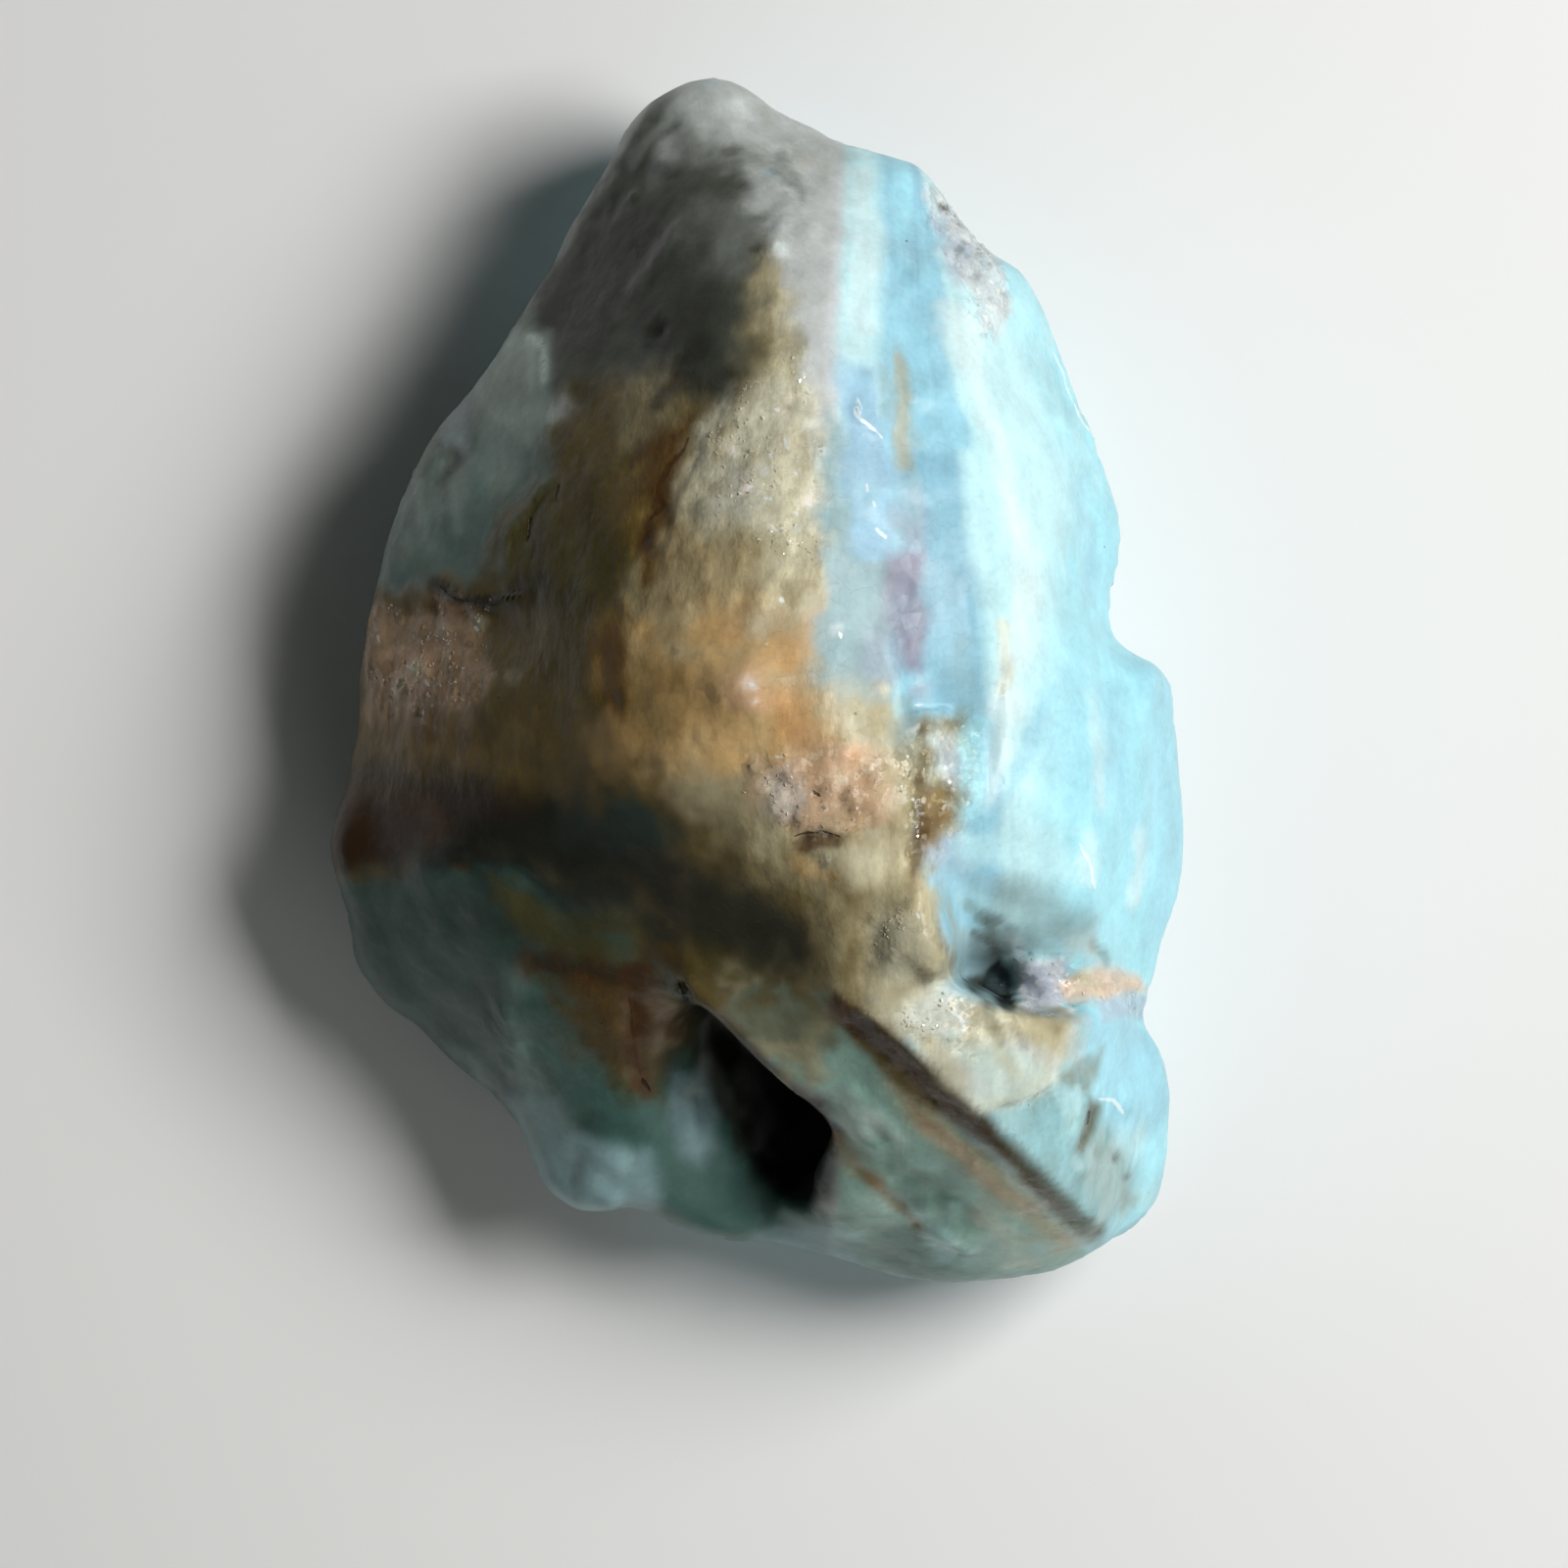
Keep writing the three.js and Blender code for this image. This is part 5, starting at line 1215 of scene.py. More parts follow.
# Most of these white marks are painted glints: highlights of light on the crest, the honey's swell,
# the sugary patch, the brown crystals, the block and the lump. The first is a real white flake edge
# with a painted glint on it.
WHITE_EDGES_AND_GLINTS = (
    ([(5.8, 17.6), (6.2, 16.7), (6.9, 16.2), (8.1, 15)], 0.10), ([(6, 17.9), (6.6, 17)], 0.06),
    ([(7, 12.4), (7.1, 11.6)], 0.09), ([(7.3, 11.3), (7.6, 10.6)], 0.09), ([(7.4, 9.6), (8.2, 8.8)], 0.08),
    ([(20.2, -10), (20.9, -11.8), (21.2, -13.2)], 0.10), ([(18.4, 21.8), (20.2, 18), (21.8, 15)], 0.06),
    ([(11.8, -6.2), (11.9, -6.7)], 0.12), ([(9.9, -1.6), (10.6, -1.5)], 0.10),
    ([(9.3, -4.6), (9.5, -5.2)], 0.10), ([(9.8, -7.2), (9.9, -7.7)], 0.09),
    ([(10.2, -14.4), (10.4, -15)], 0.10), ([(8.4, -16.6), (9, -16.9)], 0.11),
    ([(-24, 3.2), (-23.7, 2.5)], 0.10), ([(-22.4, 1.2), (-21.6, 0.9)], 0.14),
    ([(-17.8, 3.5), (-17.4, 3)], 0.12), ([(-21, 0.2), (-20.6, -0.3)], 0.12),
    ([(-23.4, -0.4), (-22.8, -0.8)], 0.10), ([(21.6, -26.2), (22.6, -26.5), (23.3, -27.4)], 0.10),
    ([(-0.5, 0), (-0.1, -0.3)], 0.16), ([(-0.1, -1), (0, -1.6)], 0.08), ([(0.5, 11.3), (1.3, 11)], 0.12),
    ([(3, 11.3), (3.5, 10.7)], 0.13), ([(1.2, 17.1), (1.7, 16.8)], 0.13),
    ([(1.8, 15.3), (2.1, 14.5)], 0.12), ([(0.9, 14.4), (1.1, 13.8)], 0.12),
    ([(2.5, 13.1), (2.7, 12.6)], 0.12), ([(-1.6, 14.6), (-1.2, 14.3)], 0.13),
    ([(-0.7, 11.7), (0, 12)], 0.14), ([(2.3, 10.5), (2.8, 10.3)], 0.12), ([(1, 9.6), (1.3, 9.2)], 0.11),
    ([(0.8, 2.2), (1, 2.6)], 0.09), ([(1.4, 5.2), (1.8, 4.9)], 0.11), ([(5.1, 3.1), (5.3, 2.6)], 0.11),
    ([(1, -4.8), (1.9, -4.9)], 0.06), ([(11.8, -20.4), (12.8, -21.2), (12.9, -22)], 0.10),
    ([(16.2, -26.6), (17.6, -26)], 0.07), ([(19.6, -20.7), (20.3, -20.6)], 0.08),
)
FAR = 9.0                       # mm, farther off than any mark shows
END_WIDTH = 0.3                 # share of its width that a mark keeps near its ends
BEYOND_END = 0.2                # mm by which its width is below nothing past them
NEAR = 0.3                      # mm from a mark beyond which its width shrinks
FRONT_ONLY = 0.3                # share of the front's paint below which no mark shows


def thin(rows):
    """Distance across the nearest of some thin marks, signed by side, and half its width there, in mm."""
    across = np.full(len(points), FAR)
    half_width = np.full(len(points), -FAR)
    for path, width in rows:
        distance, side, run = marks.along(path)
        narrow = fade(np.minimum(run, 1 - run) / TAPER)
        width_there = width * (END_WIDTH + (1 - END_WIDTH) * narrow)
        width_there = np.where(narrow > 0, width_there, -BEYOND_END)
        width_there = width_there - np.maximum(distance - max(NEAR, width), 0)
        nearer = width_there - distance > half_width - np.abs(across)
        across[nearer] = (side * distance)[nearer]
        half_width[nearer] = width_there[nearer]
    return across, np.where(front > FRONT_ONLY, half_width, -FAR)


thin_marks = [thin(rows) for rows in (VEINS, WHITE_EDGES_AND_GLINTS, CRACKS)]
print("vertices by thin marks:", [int((width > 0).sum()) for _, width in thin_marks])

# %% Keep the colours and marks on the stone
VALUE_NAMES = {"FLOAT": "value", "FLOAT_VECTOR": "vector", "FLOAT_COLOR": "color"}


def keep(name, values, kind="FLOAT"):
    """Stores one value or colour per vertex on the stone, for the materials to read."""
    stored = mesh.attributes.new(name, kind, "POINT")
    if kind == "FLOAT_COLOR":
        values = np.concatenate([values, np.ones((len(values), 1))], axis=1)
    stored.data.foreach_set(VALUE_NAMES[kind], values.ravel())


keep("tint", tint, "FLOAT_COLOR")
keep("band", band * front)
keep("across", np.stack([across for across, _ in thin_marks], axis=1), "FLOAT_VECTOR")
keep("width", np.stack([width for _, width in thin_marks], axis=1), "FLOAT_VECTOR")
print("kept on the stone:", sorted(mesh.attributes.keys()))

# %% [markdown]
# ## Where the crystals are sugary
#
# Some breaks of the stone are waxy and plain. Others are sugary: masses of small crystal faces, with
# loose flakes here and there. These places are outlined once and kept as masks, which the
# crystals' relief, the scattered flakes and the material all read, so that they agree.

# %% Sugary places and places with loose flakes
BASE_SUGAR = 0.10               # everywhere
SIDE_SUGAR = 0.45               # in patches on the sides and the back
SUGAR_SOFT = 1.6                # mm over which a sugary patch fades out
SUGARY = (                      # sugar, flakes, outline
    (0.45, 0.55, [(-4.2, 13), (-1.8, 17.4), (1, 20), (3.4, 19.6), (4, 13), (3.6, 7.4), (0.4, 7.6),
                  (-3.2, 9.4)]),
    (0.25, 0.00, [(-8, 3), (-3, 5), (1, 6), (4, 1), (5, -4), (0, -6.6), (-7, -4)]),
    (0.22, 0.00, [(-5, 19.4), (-2, 17.2), (-6, 8), (-7.6, 6), (-8.6, 9), (-7.4, 14), (-8, 18)]),
    (0.55, 0.55, [(-25, 4.8), (-19, 5.1), (-16.4, 4.4), (-16.6, 0), (-18, -1.6), (-21, -2.4), (-25, -1)]),
    (0.80, 0.35, [(0.4, -4.2), (5.6, -4.2), (8.6, -5.8), (7.4, -9.8), (3, -10), (0, -7)]),
    (0.90, 0.90, [(9.6, -2.6), (10.8, -2.6), (11, -9), (11.2, -12.6), (9.8, -12.6), (9.4, -8)]),
    (0.60, 0.20, [(10.6, -2), (13.8, -2), (14.6, -5), (14, -9), (11.6, -12.8), (10.6, -9)]),
    (0.90, 1.00, [(8.8, -22.2), (9.8, -20), (12, -19.2), (13.6, -21), (13.2, -23), (11, -23)]),
    (0.80, 0.45, [(10.8, 31.8), (13.6, 29), (15.8, 24.6), (14.4, 22.4), (12.4, 25.6), (11, 28)]),
    (0.50, 0.60, [(7.6, -15.2), (10.2, -14.2), (11, -15.4), (9, -16.8), (8.2, -18)]),
    (0.70, 0.35, [(16, -16.8), (19.8, -17), (20.4, -20.6), (16.4, -21)]),
    (0.20, 0.00, [(8.3, 9.6), (9.9, 9.4), (11, 6), (10.9, 0.8), (8.5, 0.2)]),
    (0.45, 0.00, [(5, -19.6), (8, -20.6), (14, -27.6), (20.6, -34.6), (19.4, -35.6), (12, -29.4), (6, -23)]),
    (0.35, 0.00, [(-3, 34), (2, 34), (3.4, 30), (3.4, 26), (0.4, 25.6), (-2.4, 30)]),
    (0.15, 0.00, [(-14, -17.8), (-5, -18.4), (-4.6, -22), (-6.4, -26), (-12, -24)]),
    (0.50, 0.20, [(19.4, -18.6), (25.4, -18), (25.4, -21), (19.6, -20.2)]),
    (0.40, 0.70, [(15.6, -26.2), (18.4, -25.6), (18.2, -27), (15.8, -27.4)]),
)
sugar = BASE_SUGAR + SIDE_SUGAR * (1 - front) * fade((rough_noise(points, 7 * MM, 261) - 0.1) / 0.3)
flakes = np.zeros(len(points))
for sugar_there, flakes_there, outline in SUGARY:
    mask = broad_marks.area(outline, SUGAR_SOFT)
    mask = fade(mask + 4 * mask * (1 - mask) * MOTTLE * mottles[0])
    sugar = np.maximum(sugar, sugar_there * mask)
    flakes = np.maximum(flakes, flakes_there * mask)
sugar *= fade(points[:, 2] / (FLAT_GUARD * MM))
keep("sugar", sugar)
flakes *= fade(0.42 + 1.6 * rough_noise(points, 2.2 * MM, 271))
keep("flakes", flakes)
print("sugary share of the stone:", round(float((sugar > 0.4).mean()), 2))

# %% Mottled places
BASE_MOTTLE = 0.05
MOTTLED_SOFT = 3.0              # mm over which a mottled patch fades out
MOTTLED = (                     # mottle, outline
    (1.0, [(-0.4, 27), (2.2, 27), (3.6, 18), (4.6, 8), (3, 4), (-6, 4), (-9, -3), (-15, -2), (-16, 8),
           (-12, 18), (-6, 20), (-2, 18), (-0.6, 21)]),
    (0.25, [(-9, 5), (4, 5), (3, -5), (-8, -8)]),
    (0.8, [(3, 2), (8.4, 0), (9.6, -6), (11, -13), (12.4, -18), (6, -21), (-1, -12), (0, -5)]),
    (0.9, [(-26, 6), (-14, 5), (-12, -4), (-18, -8), (-28, -6)]),
    (0.8, [(9.2, -2), (13.8, -2), (14.4, -8), (11.6, -13), (9.6, -12)]),
    (0.5, [(-20, 24), (-14, 23), (-12, 14), (-16, 7), (-28, 7), (-28, 16)]),
    (0.6, [(-16, -17), (-4, -18), (-4, -26), (-12, -28), (-18, -22)]),
    (0.3, [(5, -20), (14, -27), (22, -36), (14, -40), (4, -36), (5, -26), (0, -23)]),
    (0.4, [(9, -20), (20, -20.6), (26, -30), (22, -36), (12, -26)]),
    (0.35, [(-14, 20), (-8, 36), (4, 40), (6, 32), (0, 24)]),
)
mottle = np.full(len(points), BASE_MOTTLE)
for amount, outline in MOTTLED:
    mottle = np.maximum(mottle, amount * broad_marks.area(outline, MOTTLED_SOFT))
keep("mottle", mottle)
print("mottled share of the stone:", round(float((mottle > 0.4).mean()), 2))

# %% [markdown]
# ## Materials
#
# All of the stone is one mineral skin: the painted tint, changed a little by soft clouds, by streaks
# along the bands and by sugary grains that are each lighter or darker; the palest are painted glints.
# The same grains also lean each their own way, which the Bump node turns into faces that catch the
# light one by one. The recipe is a node group, so that the stone and its loose flakes share it. A
# second small group turns the stored distances into thin cracks, veins, white edges and painted
# glints. Light goes a little way into the stone, and a thin waxy gloss lies over it. The flakes are
# painted paler, as a painted glint, and have far more gloss, so that they glint.

# %% Tools for node trees
class Wiring:
    """Adds nodes to a tree. An input is given either as a value or as the output that feeds it."""

    def __init__(self, tree):
        self.tree = tree

    def feed(self, socket, value):
        """Gives an input its value or its link."""
        if isinstance(value, bpy.types.NodeSocket):
            self.tree.links.new(value, socket)
        else:
            socket.default_value = value

    def add(self, kind, inputs=(), **settings):
        """A new node with its settings and inputs."""
        node = self.tree.nodes.new(kind)
        for name, value in settings.items():
            setattr(node, name, value)
        for key, value in dict(inputs).items():
            self.feed(node.inputs[key], value)
        return node

    def math(self, operation, *values):
        return self.add("ShaderNodeMath", dict(enumerate(values)), operation=operation).outputs[0]

    def vector(self, operation, *values):
        return self.add("ShaderNodeVectorMath", dict(enumerate(values)), operation=operation).outputs[0]

    def dot(self, first, second):
        """How far one vector runs along another, times the other's length."""
        node = self.add("ShaderNodeVectorMath", {0: first, 1: second}, operation="DOT_PRODUCT")
        return node.outputs["Value"]

    def scaled(self, vector, factor):
        node = self.add("ShaderNodeVectorMath", {0: vector, "Scale": factor}, operation="SCALE")
        return node.outputs[0]

    def centred(self, value, amount):
        """A value around 0.5 as a change around 0."""
        return self.math("MULTIPLY_ADD", value, 2 * amount, -amount)

    def between(self, value, low, high):
        """0 below one value and 1 above the other, softly."""
        node = self.add("ShaderNodeMapRange", {"Value": value, "From Min": low, "From Max": high},
                        interpolation_type="SMOOTHSTEP")
        return node.outputs["Result"]

    def blend(self, factor, first, second):
        """The first colour at 0 and the second at 1."""
        node = self.add("ShaderNodeMix", {0: factor, 6: first, 7: second}, data_type="RGBA")
        return node.outputs[2]

    def parts(self, vector):
        return self.add("ShaderNodeSeparateXYZ", {0: vector}).outputs

    def noise(self, place, scale, detail):
        node = self.add("ShaderNodeTexNoise", {"Vector": place, "Scale": scale, "Detail": detail})
        return node.outputs["Fac"]

    def stored(self, name, output):
        """A value that is stored on the piece."""
        return self.add("ShaderNodeAttribute", attribute_name=name).outputs[output]

    def leaning_cells(self, place):
        """Random cells of size 1: their colours, and a flat face in each that leans its own way."""
        cells = self.add("ShaderNodeTexVoronoi", {"Vector": place, "Scale": 1.0})
        lean = self.dot(
            self.vector("SUBTRACT", place, cells.outputs["Position"]),
            self.vector("SUBTRACT", cells.outputs["Color"], (0.5, 0.5, 0.5)))
        return cells.outputs["Color"], lean

    def finish(self, geometry, material, result):
        """Ends a geometry tree: instances become plain faces, and all faces get the material."""
        plain = self.add("GeometryNodeRealizeInstances", {"Geometry": geometry})
        dressed = self.add(
            "GeometryNodeSetMaterial", {"Geometry": plain.outputs["Geometry"], "Material": material})
        self.feed(result["Geometry"], dressed.outputs["Geometry"])


def new_tree(name, kind, inputs, outputs):
    """A node group with named inputs and outputs, each with its kind, and an input also with its value."""
    tree = bpy.data.node_groups.new(name, kind)
    for label, socket_kind, value in inputs:
        socket = tree.interface.new_socket(label, in_out="INPUT", socket_type=socket_kind)
        if value is not None:
            socket.default_value = value
    for label, socket_kind in outputs:
        tree.interface.new_socket(label, in_out="OUTPUT", socket_type=socket_kind)
    entry = tree.nodes.new("NodeGroupInput")
    leave = tree.nodes.new("NodeGroupOutput")
    print("new tree:", name)
    return tree, Wiring(tree), entry.outputs, leave.inputs


# %% Node group: leaning grains
leaning_grains, wire, given, result = new_tree(
    "leaning_grains", "ShaderNodeTree",
    (("Position", "NodeSocketVector", None), ("Size", "NodeSocketFloat", 1.0)),
    (("Random", "NodeSocketFloat"), ("Lean", "NodeSocketFloat")))
in_grains = wire.scaled(given["Position"], wire.math("DIVIDE", 1.0, given["Size"]))
cell_colour, lean = wire.leaning_cells(in_grains)
wire.feed(result["Random"], wire.parts(cell_colour)[0])
wire.feed(result["Lean"], wire.math("MULTIPLY", lean, given["Size"]))

# %% Node group: thin mark
RAGGED = 0.07                   # mm by which noise makes the marks' edges ragged
MARK_EDGE = 0.09                # mm over which they fade out

thin_mark, wire, given, result = new_tree(
    "thin_mark", "ShaderNodeTree",
    (("Across", "NodeSocketFloat", 1.0), ("Width", "NodeSocketFloat", 0.0),
     ("Noise", "NodeSocketFloat", 0.5)),
    (("Mask", "NodeSocketFloat"),))
depth = wire.math("SUBTRACT", given["Width"], wire.math("ABSOLUTE", given["Across"]))
depth = wire.math("ADD", depth, wire.centred(given["Noise"], 2 * RAGGED))
wire.feed(result["Mask"], wire.between(depth, -MARK_EDGE / 2, MARK_EDGE / 2))

# %% Node group: mineral skin, its patterns
CLOUD_SCALE = 0.28              # clouds per mm
SPECKLE_SCALE = 2.4
STREAKS_PER_BAND = 4.5
STREAK_STRETCH = 0.10           # streaks per mm, along them
BANDED = (0.3, 1.2)             # place across the bands over which the streaks set in
PATCH_SCALE = 0.75
PATCH_STRETCH = (1.0, 0.55, 1.0)
HOLLOW_SCALE = 0.50
HOLLOW_SHIFT = (40.0, 0.0, 0.0)         # mm, so that hollows and patches don't fall together
COARSE_GRAIN = 0.85             # mm
FINE_GRAIN = 0.34

mineral_skin, wire, given, result = new_tree(
    "mineral_skin", "ShaderNodeTree",
    (("Tint", "NodeSocketColor", None), ("Sugar", "NodeSocketFloat", 0.0), ("Band", "NodeSocketFloat", 0.0),
     ("Mottle", "NodeSocketFloat", 0.0), ("Across", "NodeSocketVector", None),
     ("Width", "NodeSocketVector", None)),
    (("Color", "NodeSocketColor"), ("Roughness", "NodeSocketFloat"), ("Height", "NodeSocketFloat")))
place = wire.scaled(wire.add("ShaderNodeTexCoord").outputs["Object"], 1 / MM)
place_y, place_z = wire.parts(place)[1:]
cloud = wire.noise(place, CLOUD_SCALE, 5.0)
speckle = wire.noise(place, SPECKLE_SCALE, 2.0)
streak_place = wire.add("ShaderNodeCombineXYZ", {
    0: wire.math("MULTIPLY", given["Band"], STREAKS_PER_BAND),
    1: wire.math("MULTIPLY", place_y, STREAK_STRETCH),
    2: wire.math("MULTIPLY", place_z, STREAK_STRETCH)}).outputs[0]
streak = wire.noise(streak_place, 1.0, 2.5)
banded = wire.between(given["Band"], *BANDED)
coarse, fine = [
    wire.add("ShaderNodeGroup", {"Position": place, "Size": size}, node_tree=leaning_grains)
    for size in (COARSE_GRAIN, FINE_GRAIN)]
long_place = wire.vector("MULTIPLY", place, PATCH_STRETCH)
patches = wire.noise(long_place, PATCH_SCALE, 4.0)
hollows = wire.noise(wire.vector("ADD", long_place, HOLLOW_SHIFT), HOLLOW_SCALE, 4.0)
print("patterns in place, nodes:", len(mineral_skin.nodes))

# %% Mineral skin: the tint, lighter and darker
CLOUD_CHANGE = 0.30             # the share by which each pattern makes the tint lighter and darker
SPECKLE_CHANGE = 0.10
STREAK_CHANGE = 0.12
COARSE_CHANGE = 0.18
FINE_CHANGE = 0.14
PATCH_CHANGE = 0.30
PATCHED = (0.48, 0.66)          # noise over which patches, stained hollows and flecks set in
STAINED = (0.50, 0.68)
# the flecks here are painted glints on the palest sugary grains
GLINT_FLECKED = (0.84, 0.96)
GLINT_FLECK_SUGAR = (0.3, 0.9)        # sugar over which the flecks do
STAIN = (0.66, 0.61, 0.50)      # what a stained hollow leaves of the tint's red, green and blue
STAIN_SHARE = 0.75
GLINT_FLECK_SHARE = 0.30
GLINT_COLOUR = (*shade(244, 232, 206), 1)

change = wire.math("ADD", wire.centred(cloud, CLOUD_CHANGE), wire.centred(speckle, SPECKLE_CHANGE))
change = wire.math("ADD", change, wire.math("MULTIPLY", wire.centred(streak, STREAK_CHANGE), banded))
grains = wire.math(
    "ADD", wire.centred(coarse.outputs["Random"], COARSE_CHANGE),
    wire.centred(fine.outputs["Random"], FINE_CHANGE))
change = wire.math("MULTIPLY_ADD", grains, given["Sugar"], change)
patched = wire.math("MULTIPLY", wire.between(patches, *PATCHED), PATCH_CHANGE)
change = wire.math("MULTIPLY_ADD", patched, given["Mottle"], change)
colour = wire.scaled(given["Tint"], wire.math("ADD", change, 1.0))
stained = wire.math("MULTIPLY", wire.between(hollows, *STAINED), given["Mottle"])
stained = wire.math("MULTIPLY", stained, STAIN_SHARE)
colour = wire.blend(stained, colour, wire.vector("MULTIPLY", colour, STAIN))
# Painted glints: the palest sugary grains are drawn towards a near-white glint colour.
glint_fleck = wire.between(fine.outputs["Random"], *GLINT_FLECKED)
glint_fleck = wire.math("MULTIPLY", glint_fleck, wire.between(given["Sugar"], *GLINT_FLECK_SUGAR))
colour = wire.blend(wire.math("MULTIPLY", glint_fleck, GLINT_FLECK_SHARE), colour, GLINT_COLOUR)
print("tint in place, nodes:", len(mineral_skin.nodes))

# %% Mineral skin: dust, veins, white edges and painted glints, and cracks
DUST_SPACING = 3.2              # mm between dark specks
DUST_SIZE = 0.11                # mm
DUST_EDGE = 0.01                # share of the spacing over which a speck fades out, each way
DUST_SHARE = 0.6
RAGGED_SCALE = 1.6              # bends per mm in the marks' ragged edges
CRACK_COLOUR = (*shade(26, 22, 16), 1)
MARKS_ON_SKIN = (               # colour and strength of rust veins, white edges and cracks
    ((*shade(74, 46, 22), 1), 0.75),
    # the white of the edges and of the painted glints
    ((*shade(238, 245, 244), 1), 0.7),
    (CRACK_COLOUR, 0.8),
)

dust = wire.add("ShaderNodeTexVoronoi", {"Vector": place, "Scale": 1 / DUST_SPACING})
dust_size = wire.math("SUBTRACT", wire.parts(dust.outputs["Color"])[0], 0.5)
dust_depth = wire.math("MULTIPLY_ADD", dust_size, 2 * DUST_SIZE / DUST_SPACING, wire.math(
    "MULTIPLY", dust.outputs["Distance"], -1.0))
dusty = wire.math("MULTIPLY", wire.between(dust_depth, -DUST_EDGE, DUST_EDGE), DUST_SHARE)
colour = wire.blend(dusty, colour, CRACK_COLOUR)
masks = []
edge_noise = wire.noise(place, RAGGED_SCALE, 2.0)
for number, (mark_colour, strength) in enumerate(MARKS_ON_SKIN):
    mark = wire.add("ShaderNodeGroup", {
        "Across": wire.parts(given["Across"])[number], "Width": wire.parts(given["Width"])[number],
        "Noise": edge_noise}, node_tree=thin_mark)
    colour = wire.blend(wire.math("MULTIPLY", mark.outputs["Mask"], strength), colour, mark_colour)
    masks.append(mark.outputs["Mask"])
wire.feed(result["Color"], colour)
print("marks in place, nodes:", len(mineral_skin.nodes))

# %% Mineral skin: roughness and height
ROUGHNESS = 0.42
CLOUD_ROUGHNESS = 0.12          # how much clouds change it
GRAIN_SHINE = 0.42              # how much the shiniest sugary grain takes off it
EDGE_SHINE = 0.16               # how much a white edge does
SPECKLE_HEIGHT = 0.008          # mm, as all heights
CLOUD_HEIGHT = 0.12
STREAK_HEIGHT = 0.006
COARSE_HEIGHT = 0.45
FINE_HEIGHT = 0.4
CRACK_DEPTH = 0.12
PATCH_HEIGHT = 0.22

rough = wire.math("ADD", ROUGHNESS, wire.centred(cloud, CLOUD_ROUGHNESS))
shiny = wire.math("MULTIPLY", wire.math("MULTIPLY", coarse.outputs["Random"], given["Sugar"]), GRAIN_SHINE)
rough = wire.math("SUBTRACT", rough, shiny)
rough = wire.math("MULTIPLY_ADD", masks[1], -EDGE_SHINE, rough)
wire.feed(result["Roughness"], rough)
height = wire.math("MULTIPLY", speckle, SPECKLE_HEIGHT)
height = wire.math("MULTIPLY_ADD", cloud, CLOUD_HEIGHT, height)
height = wire.math("MULTIPLY_ADD", wire.math("MULTIPLY", streak, banded), STREAK_HEIGHT, height)
facets = wire.math("MULTIPLY_ADD", coarse.outputs["Lean"], COARSE_HEIGHT, wire.math(
    "MULTIPLY", wire.math("MULTIPLY", fine.outputs["Lean"], FINE_HEIGHT), given["Sugar"]))
height = wire.math("MULTIPLY_ADD", facets, given["Sugar"], height)
height = wire.math("MULTIPLY_ADD", masks[2], -CRACK_DEPTH, height)
height = wire.math("MULTIPLY_ADD", wire.math("MULTIPLY", patches, given["Mottle"]), PATCH_HEIGHT, height)
wire.feed(result["Height"], height)
print("mineral skin, nodes:", len(mineral_skin.nodes))

# %% Materials from the skin
IOR = 1.53                      # how strongly feldspar bends light
BELOW_SURFACE = 0.14            # share of the light that goes into the stone
GLOW_COLOURS = (1.0, 0.9, 0.8)
GLOW_DEPTH = 0.8 * MM
BUMP_DISTANCE = 1.0 * MM
DULL_SPECULAR = 0.2             # reflection of a piece without gloss, and how much full gloss adds
GLOSS_SPECULAR = 0.5
GLOSS_SMOOTHING = 0.5           # share of its roughness that full gloss takes off a piece
COAT_ROUGHNESS = 0.14


def skin_material(name, gloss, extra_sugar, painted_glint):
    """The mineral skin on a shader. Loose flakes get more sugar than the ground they lie on."""
    material = bpy.data.materials.new(name)
    material.use_nodes = True
    wire = Wiring(material.node_tree)
    shader = material.node_tree.nodes["Principled BSDF"]
    skin = wire.add("ShaderNodeGroup", {
        "Tint": wire.stored("tint", "Color"),
        "Sugar": wire.math("ADD", wire.stored("sugar", "Fac"), extra_sugar),
        "Band": wire.stored("band", "Fac"), "Mottle": wire.stored("mottle", "Fac"),
        "Across": wire.stored("across", "Vector"), "Width": wire.stored("width", "Vector"),
    }, node_tree=mineral_skin)
    bump = wire.add("ShaderNodeBump", {
        "Height": skin.outputs["Height"], "Distance": BUMP_DISTANCE, "Strength": 1.0})
    smoothing = 1 - GLOSS_SMOOTHING * gloss
    values = {
        # a piece's paleness is a painted glint, drawn towards the glint colour
        "Base Color": wire.blend(painted_glint, skin.outputs["Color"], GLINT_COLOUR),
        "Roughness": wire.math("MULTIPLY", skin.outputs["Roughness"], smoothing),
        "Normal": bump.outputs["Normal"],
        "IOR": IOR,
        "Specular IOR Level": DULL_SPECULAR + GLOSS_SPECULAR * gloss,
        "Subsurface Weight": BELOW_SURFACE,
        "Subsurface Radius": GLOW_COLOURS,
        "Subsurface Scale": GLOW_DEPTH,
        "Coat Weight": gloss,
        "Coat Roughness": COAT_ROUGHNESS,
    }
    for name, value in values.items():
        wire.feed(shader.inputs[name], value)
    return material


amazonite = skin_material("amazonite", gloss=0.05, extra_sugar=0.0, painted_glint=0.0)
flake_material = skin_material("loose_flakes", gloss=0.7, extra_sugar=0.1, painted_glint=0.3)
print("materials:", amazonite.name, flake_material.name)

# %% [markdown]
# ## Sugary relief and flakes
#
# A sugary break is thousands of small cleavage faces, too many to place by hand but all made by one
# rule, so Geometry Nodes does it. The first tree leans the surface itself, cell by cell, where the
# sugar mask is strong. The second one scatters thin bevelled flakes where the flake mask is set:
# they lie on the stone half sunk in, each tilted its own way, so that some of them glitter. Both
# trees end in a plain mesh.

# %% Geometry Nodes: sugary relief
RELIEF_GRAIN = 1.5 * MM
RELIEF_HEIGHT = 0.50 * MM
RELIEF_SEED = 5.0

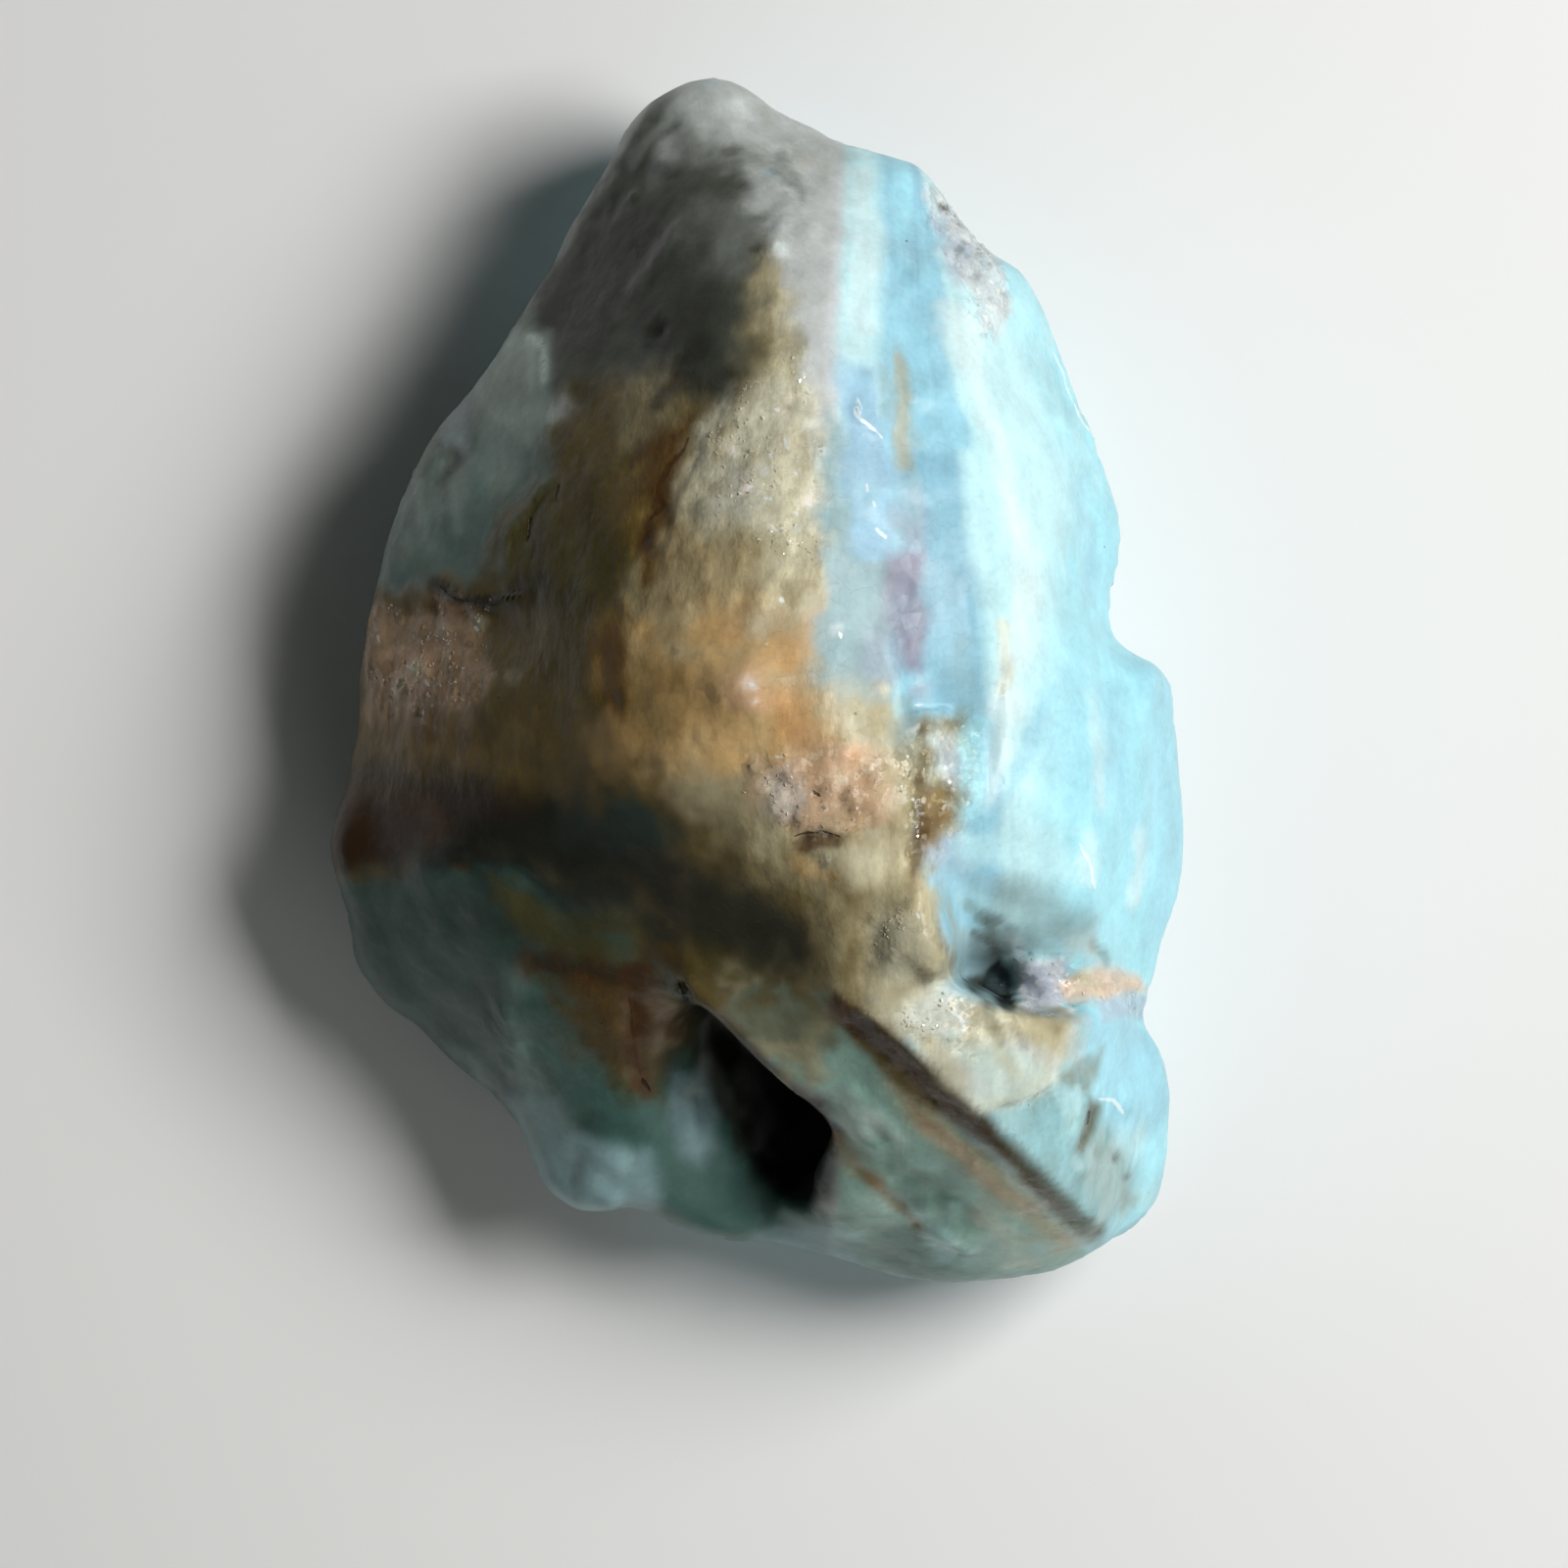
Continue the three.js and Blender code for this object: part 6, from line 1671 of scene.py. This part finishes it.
relief_tree, wire, given, result = new_tree(
    "sugary_relief", "GeometryNodeTree",
    (("Geometry", "NodeSocketGeometry", None), ("Grain", "NodeSocketFloat", 0.001),
     ("Relief", "NodeSocketFloat", 0.001), ("Seed", "NodeSocketFloat", 0.0),
     ("Material", "NodeSocketMaterial", None)),
    (("Geometry", "NodeSocketGeometry"),))
place = wire.add("GeometryNodeInputPosition").outputs[0]
in_grains = wire.scaled(place, wire.math("DIVIDE", 1.0, given["Grain"]))
seeded = wire.vector("ADD", in_grains, wire.add("ShaderNodeCombineXYZ", {0: given["Seed"]}).outputs[0])
lean = wire.leaning_cells(seeded)[1]
mask = wire.add("GeometryNodeInputNamedAttribute", {"Name": "sugar"}, data_type="FLOAT").outputs["Attribute"]
lift = wire.math("MULTIPLY", wire.math("MULTIPLY", lean, mask), given["Relief"])
offset = wire.scaled(wire.add("GeometryNodeInputNormal").outputs[0], lift)
moved = wire.add("GeometryNodeSetPosition", {"Geometry": given["Geometry"], "Offset": offset})
wire.finish(moved.outputs["Geometry"], given["Material"], result)


def run_tree(piece, tree, values, name):
    """Adds a tree to a piece as a modifier, sets its inputs and turns its result into a plain mesh."""
    modifier = piece.modifiers.new(tree.name, "NODES")
    modifier.node_group = tree
    for item in tree.interface.items_tree:
        if item.item_type == "SOCKET" and item.in_out == "INPUT" and item.name in values:
            modifier[item.identifier] = values[item.name]
    return evaluated_mesh(piece, name)


mesh = run_tree(stone, relief_tree, {
    "Grain": RELIEF_GRAIN, "Relief": RELIEF_HEIGHT, "Seed": RELIEF_SEED, "Material": amazonite}, "stone")
print("triangles of the stone:", sum(len(polygon.vertices) - 2 for polygon in mesh.polygons))

# %% Geometry Nodes: scattered flakes
FLAKES_PER_AREA = 10.0 / MM ** 2
FLAKE_SIZES = (0.07 * MM, 0.32 * MM)
FLAKE_SHAPE = (1.0, 0.76, 0.16)
FLAKE_BEVEL = 0.12              # share by which a flake's corners are drawn in
FLAKE_TILT = math.radians(34)
FLAKE_SEED = 17
FLAKE_SIDE = 3                  # vertices along each side
FLAKE_VERTICES = FLAKE_SIDE ** 3 - (FLAKE_SIDE - 2) ** 3

flake_tree, wire, given, result = new_tree(
    "scattered_flakes", "GeometryNodeTree",
    (("Geometry", "NodeSocketGeometry", None), ("Per area", "NodeSocketFloat", 1.0),
     ("Smallest", "NodeSocketFloat", 0.001), ("Largest", "NodeSocketFloat", 0.002),
     ("Tilt", "NodeSocketFloat", 0.5), ("Seed", "NodeSocketInt", 0),
     ("Material", "NodeSocketMaterial", None)),
    (("Geometry", "NodeSocketGeometry"),))
mask = wire.add("GeometryNodeInputNamedAttribute", {"Name": "flakes"}, data_type="FLOAT").outputs["Attribute"]
density = wire.math("MULTIPLY", wire.between(mask, 0.05, 1.0), given["Per area"])
scatter = wire.add("GeometryNodeDistributePointsOnFaces", {
    "Mesh": given["Geometry"], "Density": density, "Seed": given["Seed"]}, distribute_method="RANDOM")
cube = wire.add("GeometryNodeMeshCube", {
    "Size": FLAKE_SHAPE, "Vertices X": FLAKE_SIDE, "Vertices Y": FLAKE_SIDE, "Vertices Z": FLAKE_SIDE})
cube_place = wire.add("GeometryNodeInputPosition").outputs[0]
corner = wire.vector("MULTIPLY", cube_place, tuple(2 / side for side in FLAKE_SHAPE))
far = wire.add("ShaderNodeVectorMath", {0: corner}, operation="LENGTH").outputs["Value"]
drawn_in = wire.math("SUBTRACT", 1 + FLAKE_BEVEL, wire.math("MULTIPLY", far, FLAKE_BEVEL))
bevelled = wire.scaled(cube_place, drawn_in)
block = wire.add("GeometryNodeSetPosition", {"Geometry": cube.outputs["Mesh"], "Position": bevelled})
least = wire.math("MULTIPLY", given["Tilt"], -1.0)
turn = wire.add("FunctionNodeRandomValue", {
    "Min": wire.add("ShaderNodeCombineXYZ", {0: least, 1: least, 2: -math.pi}).outputs[0],
    "Max": wire.add("ShaderNodeCombineXYZ", {0: given["Tilt"], 1: given["Tilt"], 2: math.pi}).outputs[0],
    "Seed": given["Seed"]}, data_type="FLOAT_VECTOR")
tilted = wire.add("FunctionNodeRotateRotation", {
    0: scatter.outputs["Rotation"], 1: turn.outputs[0]}, rotation_space="LOCAL")
size = wire.add("FunctionNodeRandomValue", {
    2: given["Smallest"], 3: given["Largest"], "Seed": given["Seed"]}, data_type="FLOAT")
blocks = wire.add("GeometryNodeInstanceOnPoints", {
    "Points": scatter.outputs["Points"], "Instance": block.outputs["Geometry"], "Rotation": tilted.outputs[0],
    "Scale": size.outputs[1]})
wire.finish(blocks.outputs["Instances"], given["Material"], result)

loose = bpy.data.objects.new("loose_flakes", mesh.copy())
bpy.context.scene.collection.objects.link(loose)
loose_mesh = run_tree(loose, flake_tree, {
    "Per area": FLAKES_PER_AREA, "Smallest": FLAKE_SIZES[0], "Largest": FLAKE_SIZES[1], "Tilt": FLAKE_TILT,
    "Seed": FLAKE_SEED, "Material": flake_material}, "loose_flakes")
print("flakes:", len(loose_mesh.vertices) // FLAKE_VERTICES)

# %% Smooth shading for the stone, flat faces for the flakes
mesh.polygons.foreach_set("use_smooth", [True] * len(mesh.polygons))
print("smooth faces:", len(mesh.polygons))

# %% [markdown]
# ## Hand over
#
# The stone and its loose flakes are one natural piece, so both ride the part's only body and take
# the place of its plain solid.

# %% Hand over
for piece in (stone, loose):
    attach(piece, "root")
    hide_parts("amazonite")
print("handed over:", stone.name, loose.name)
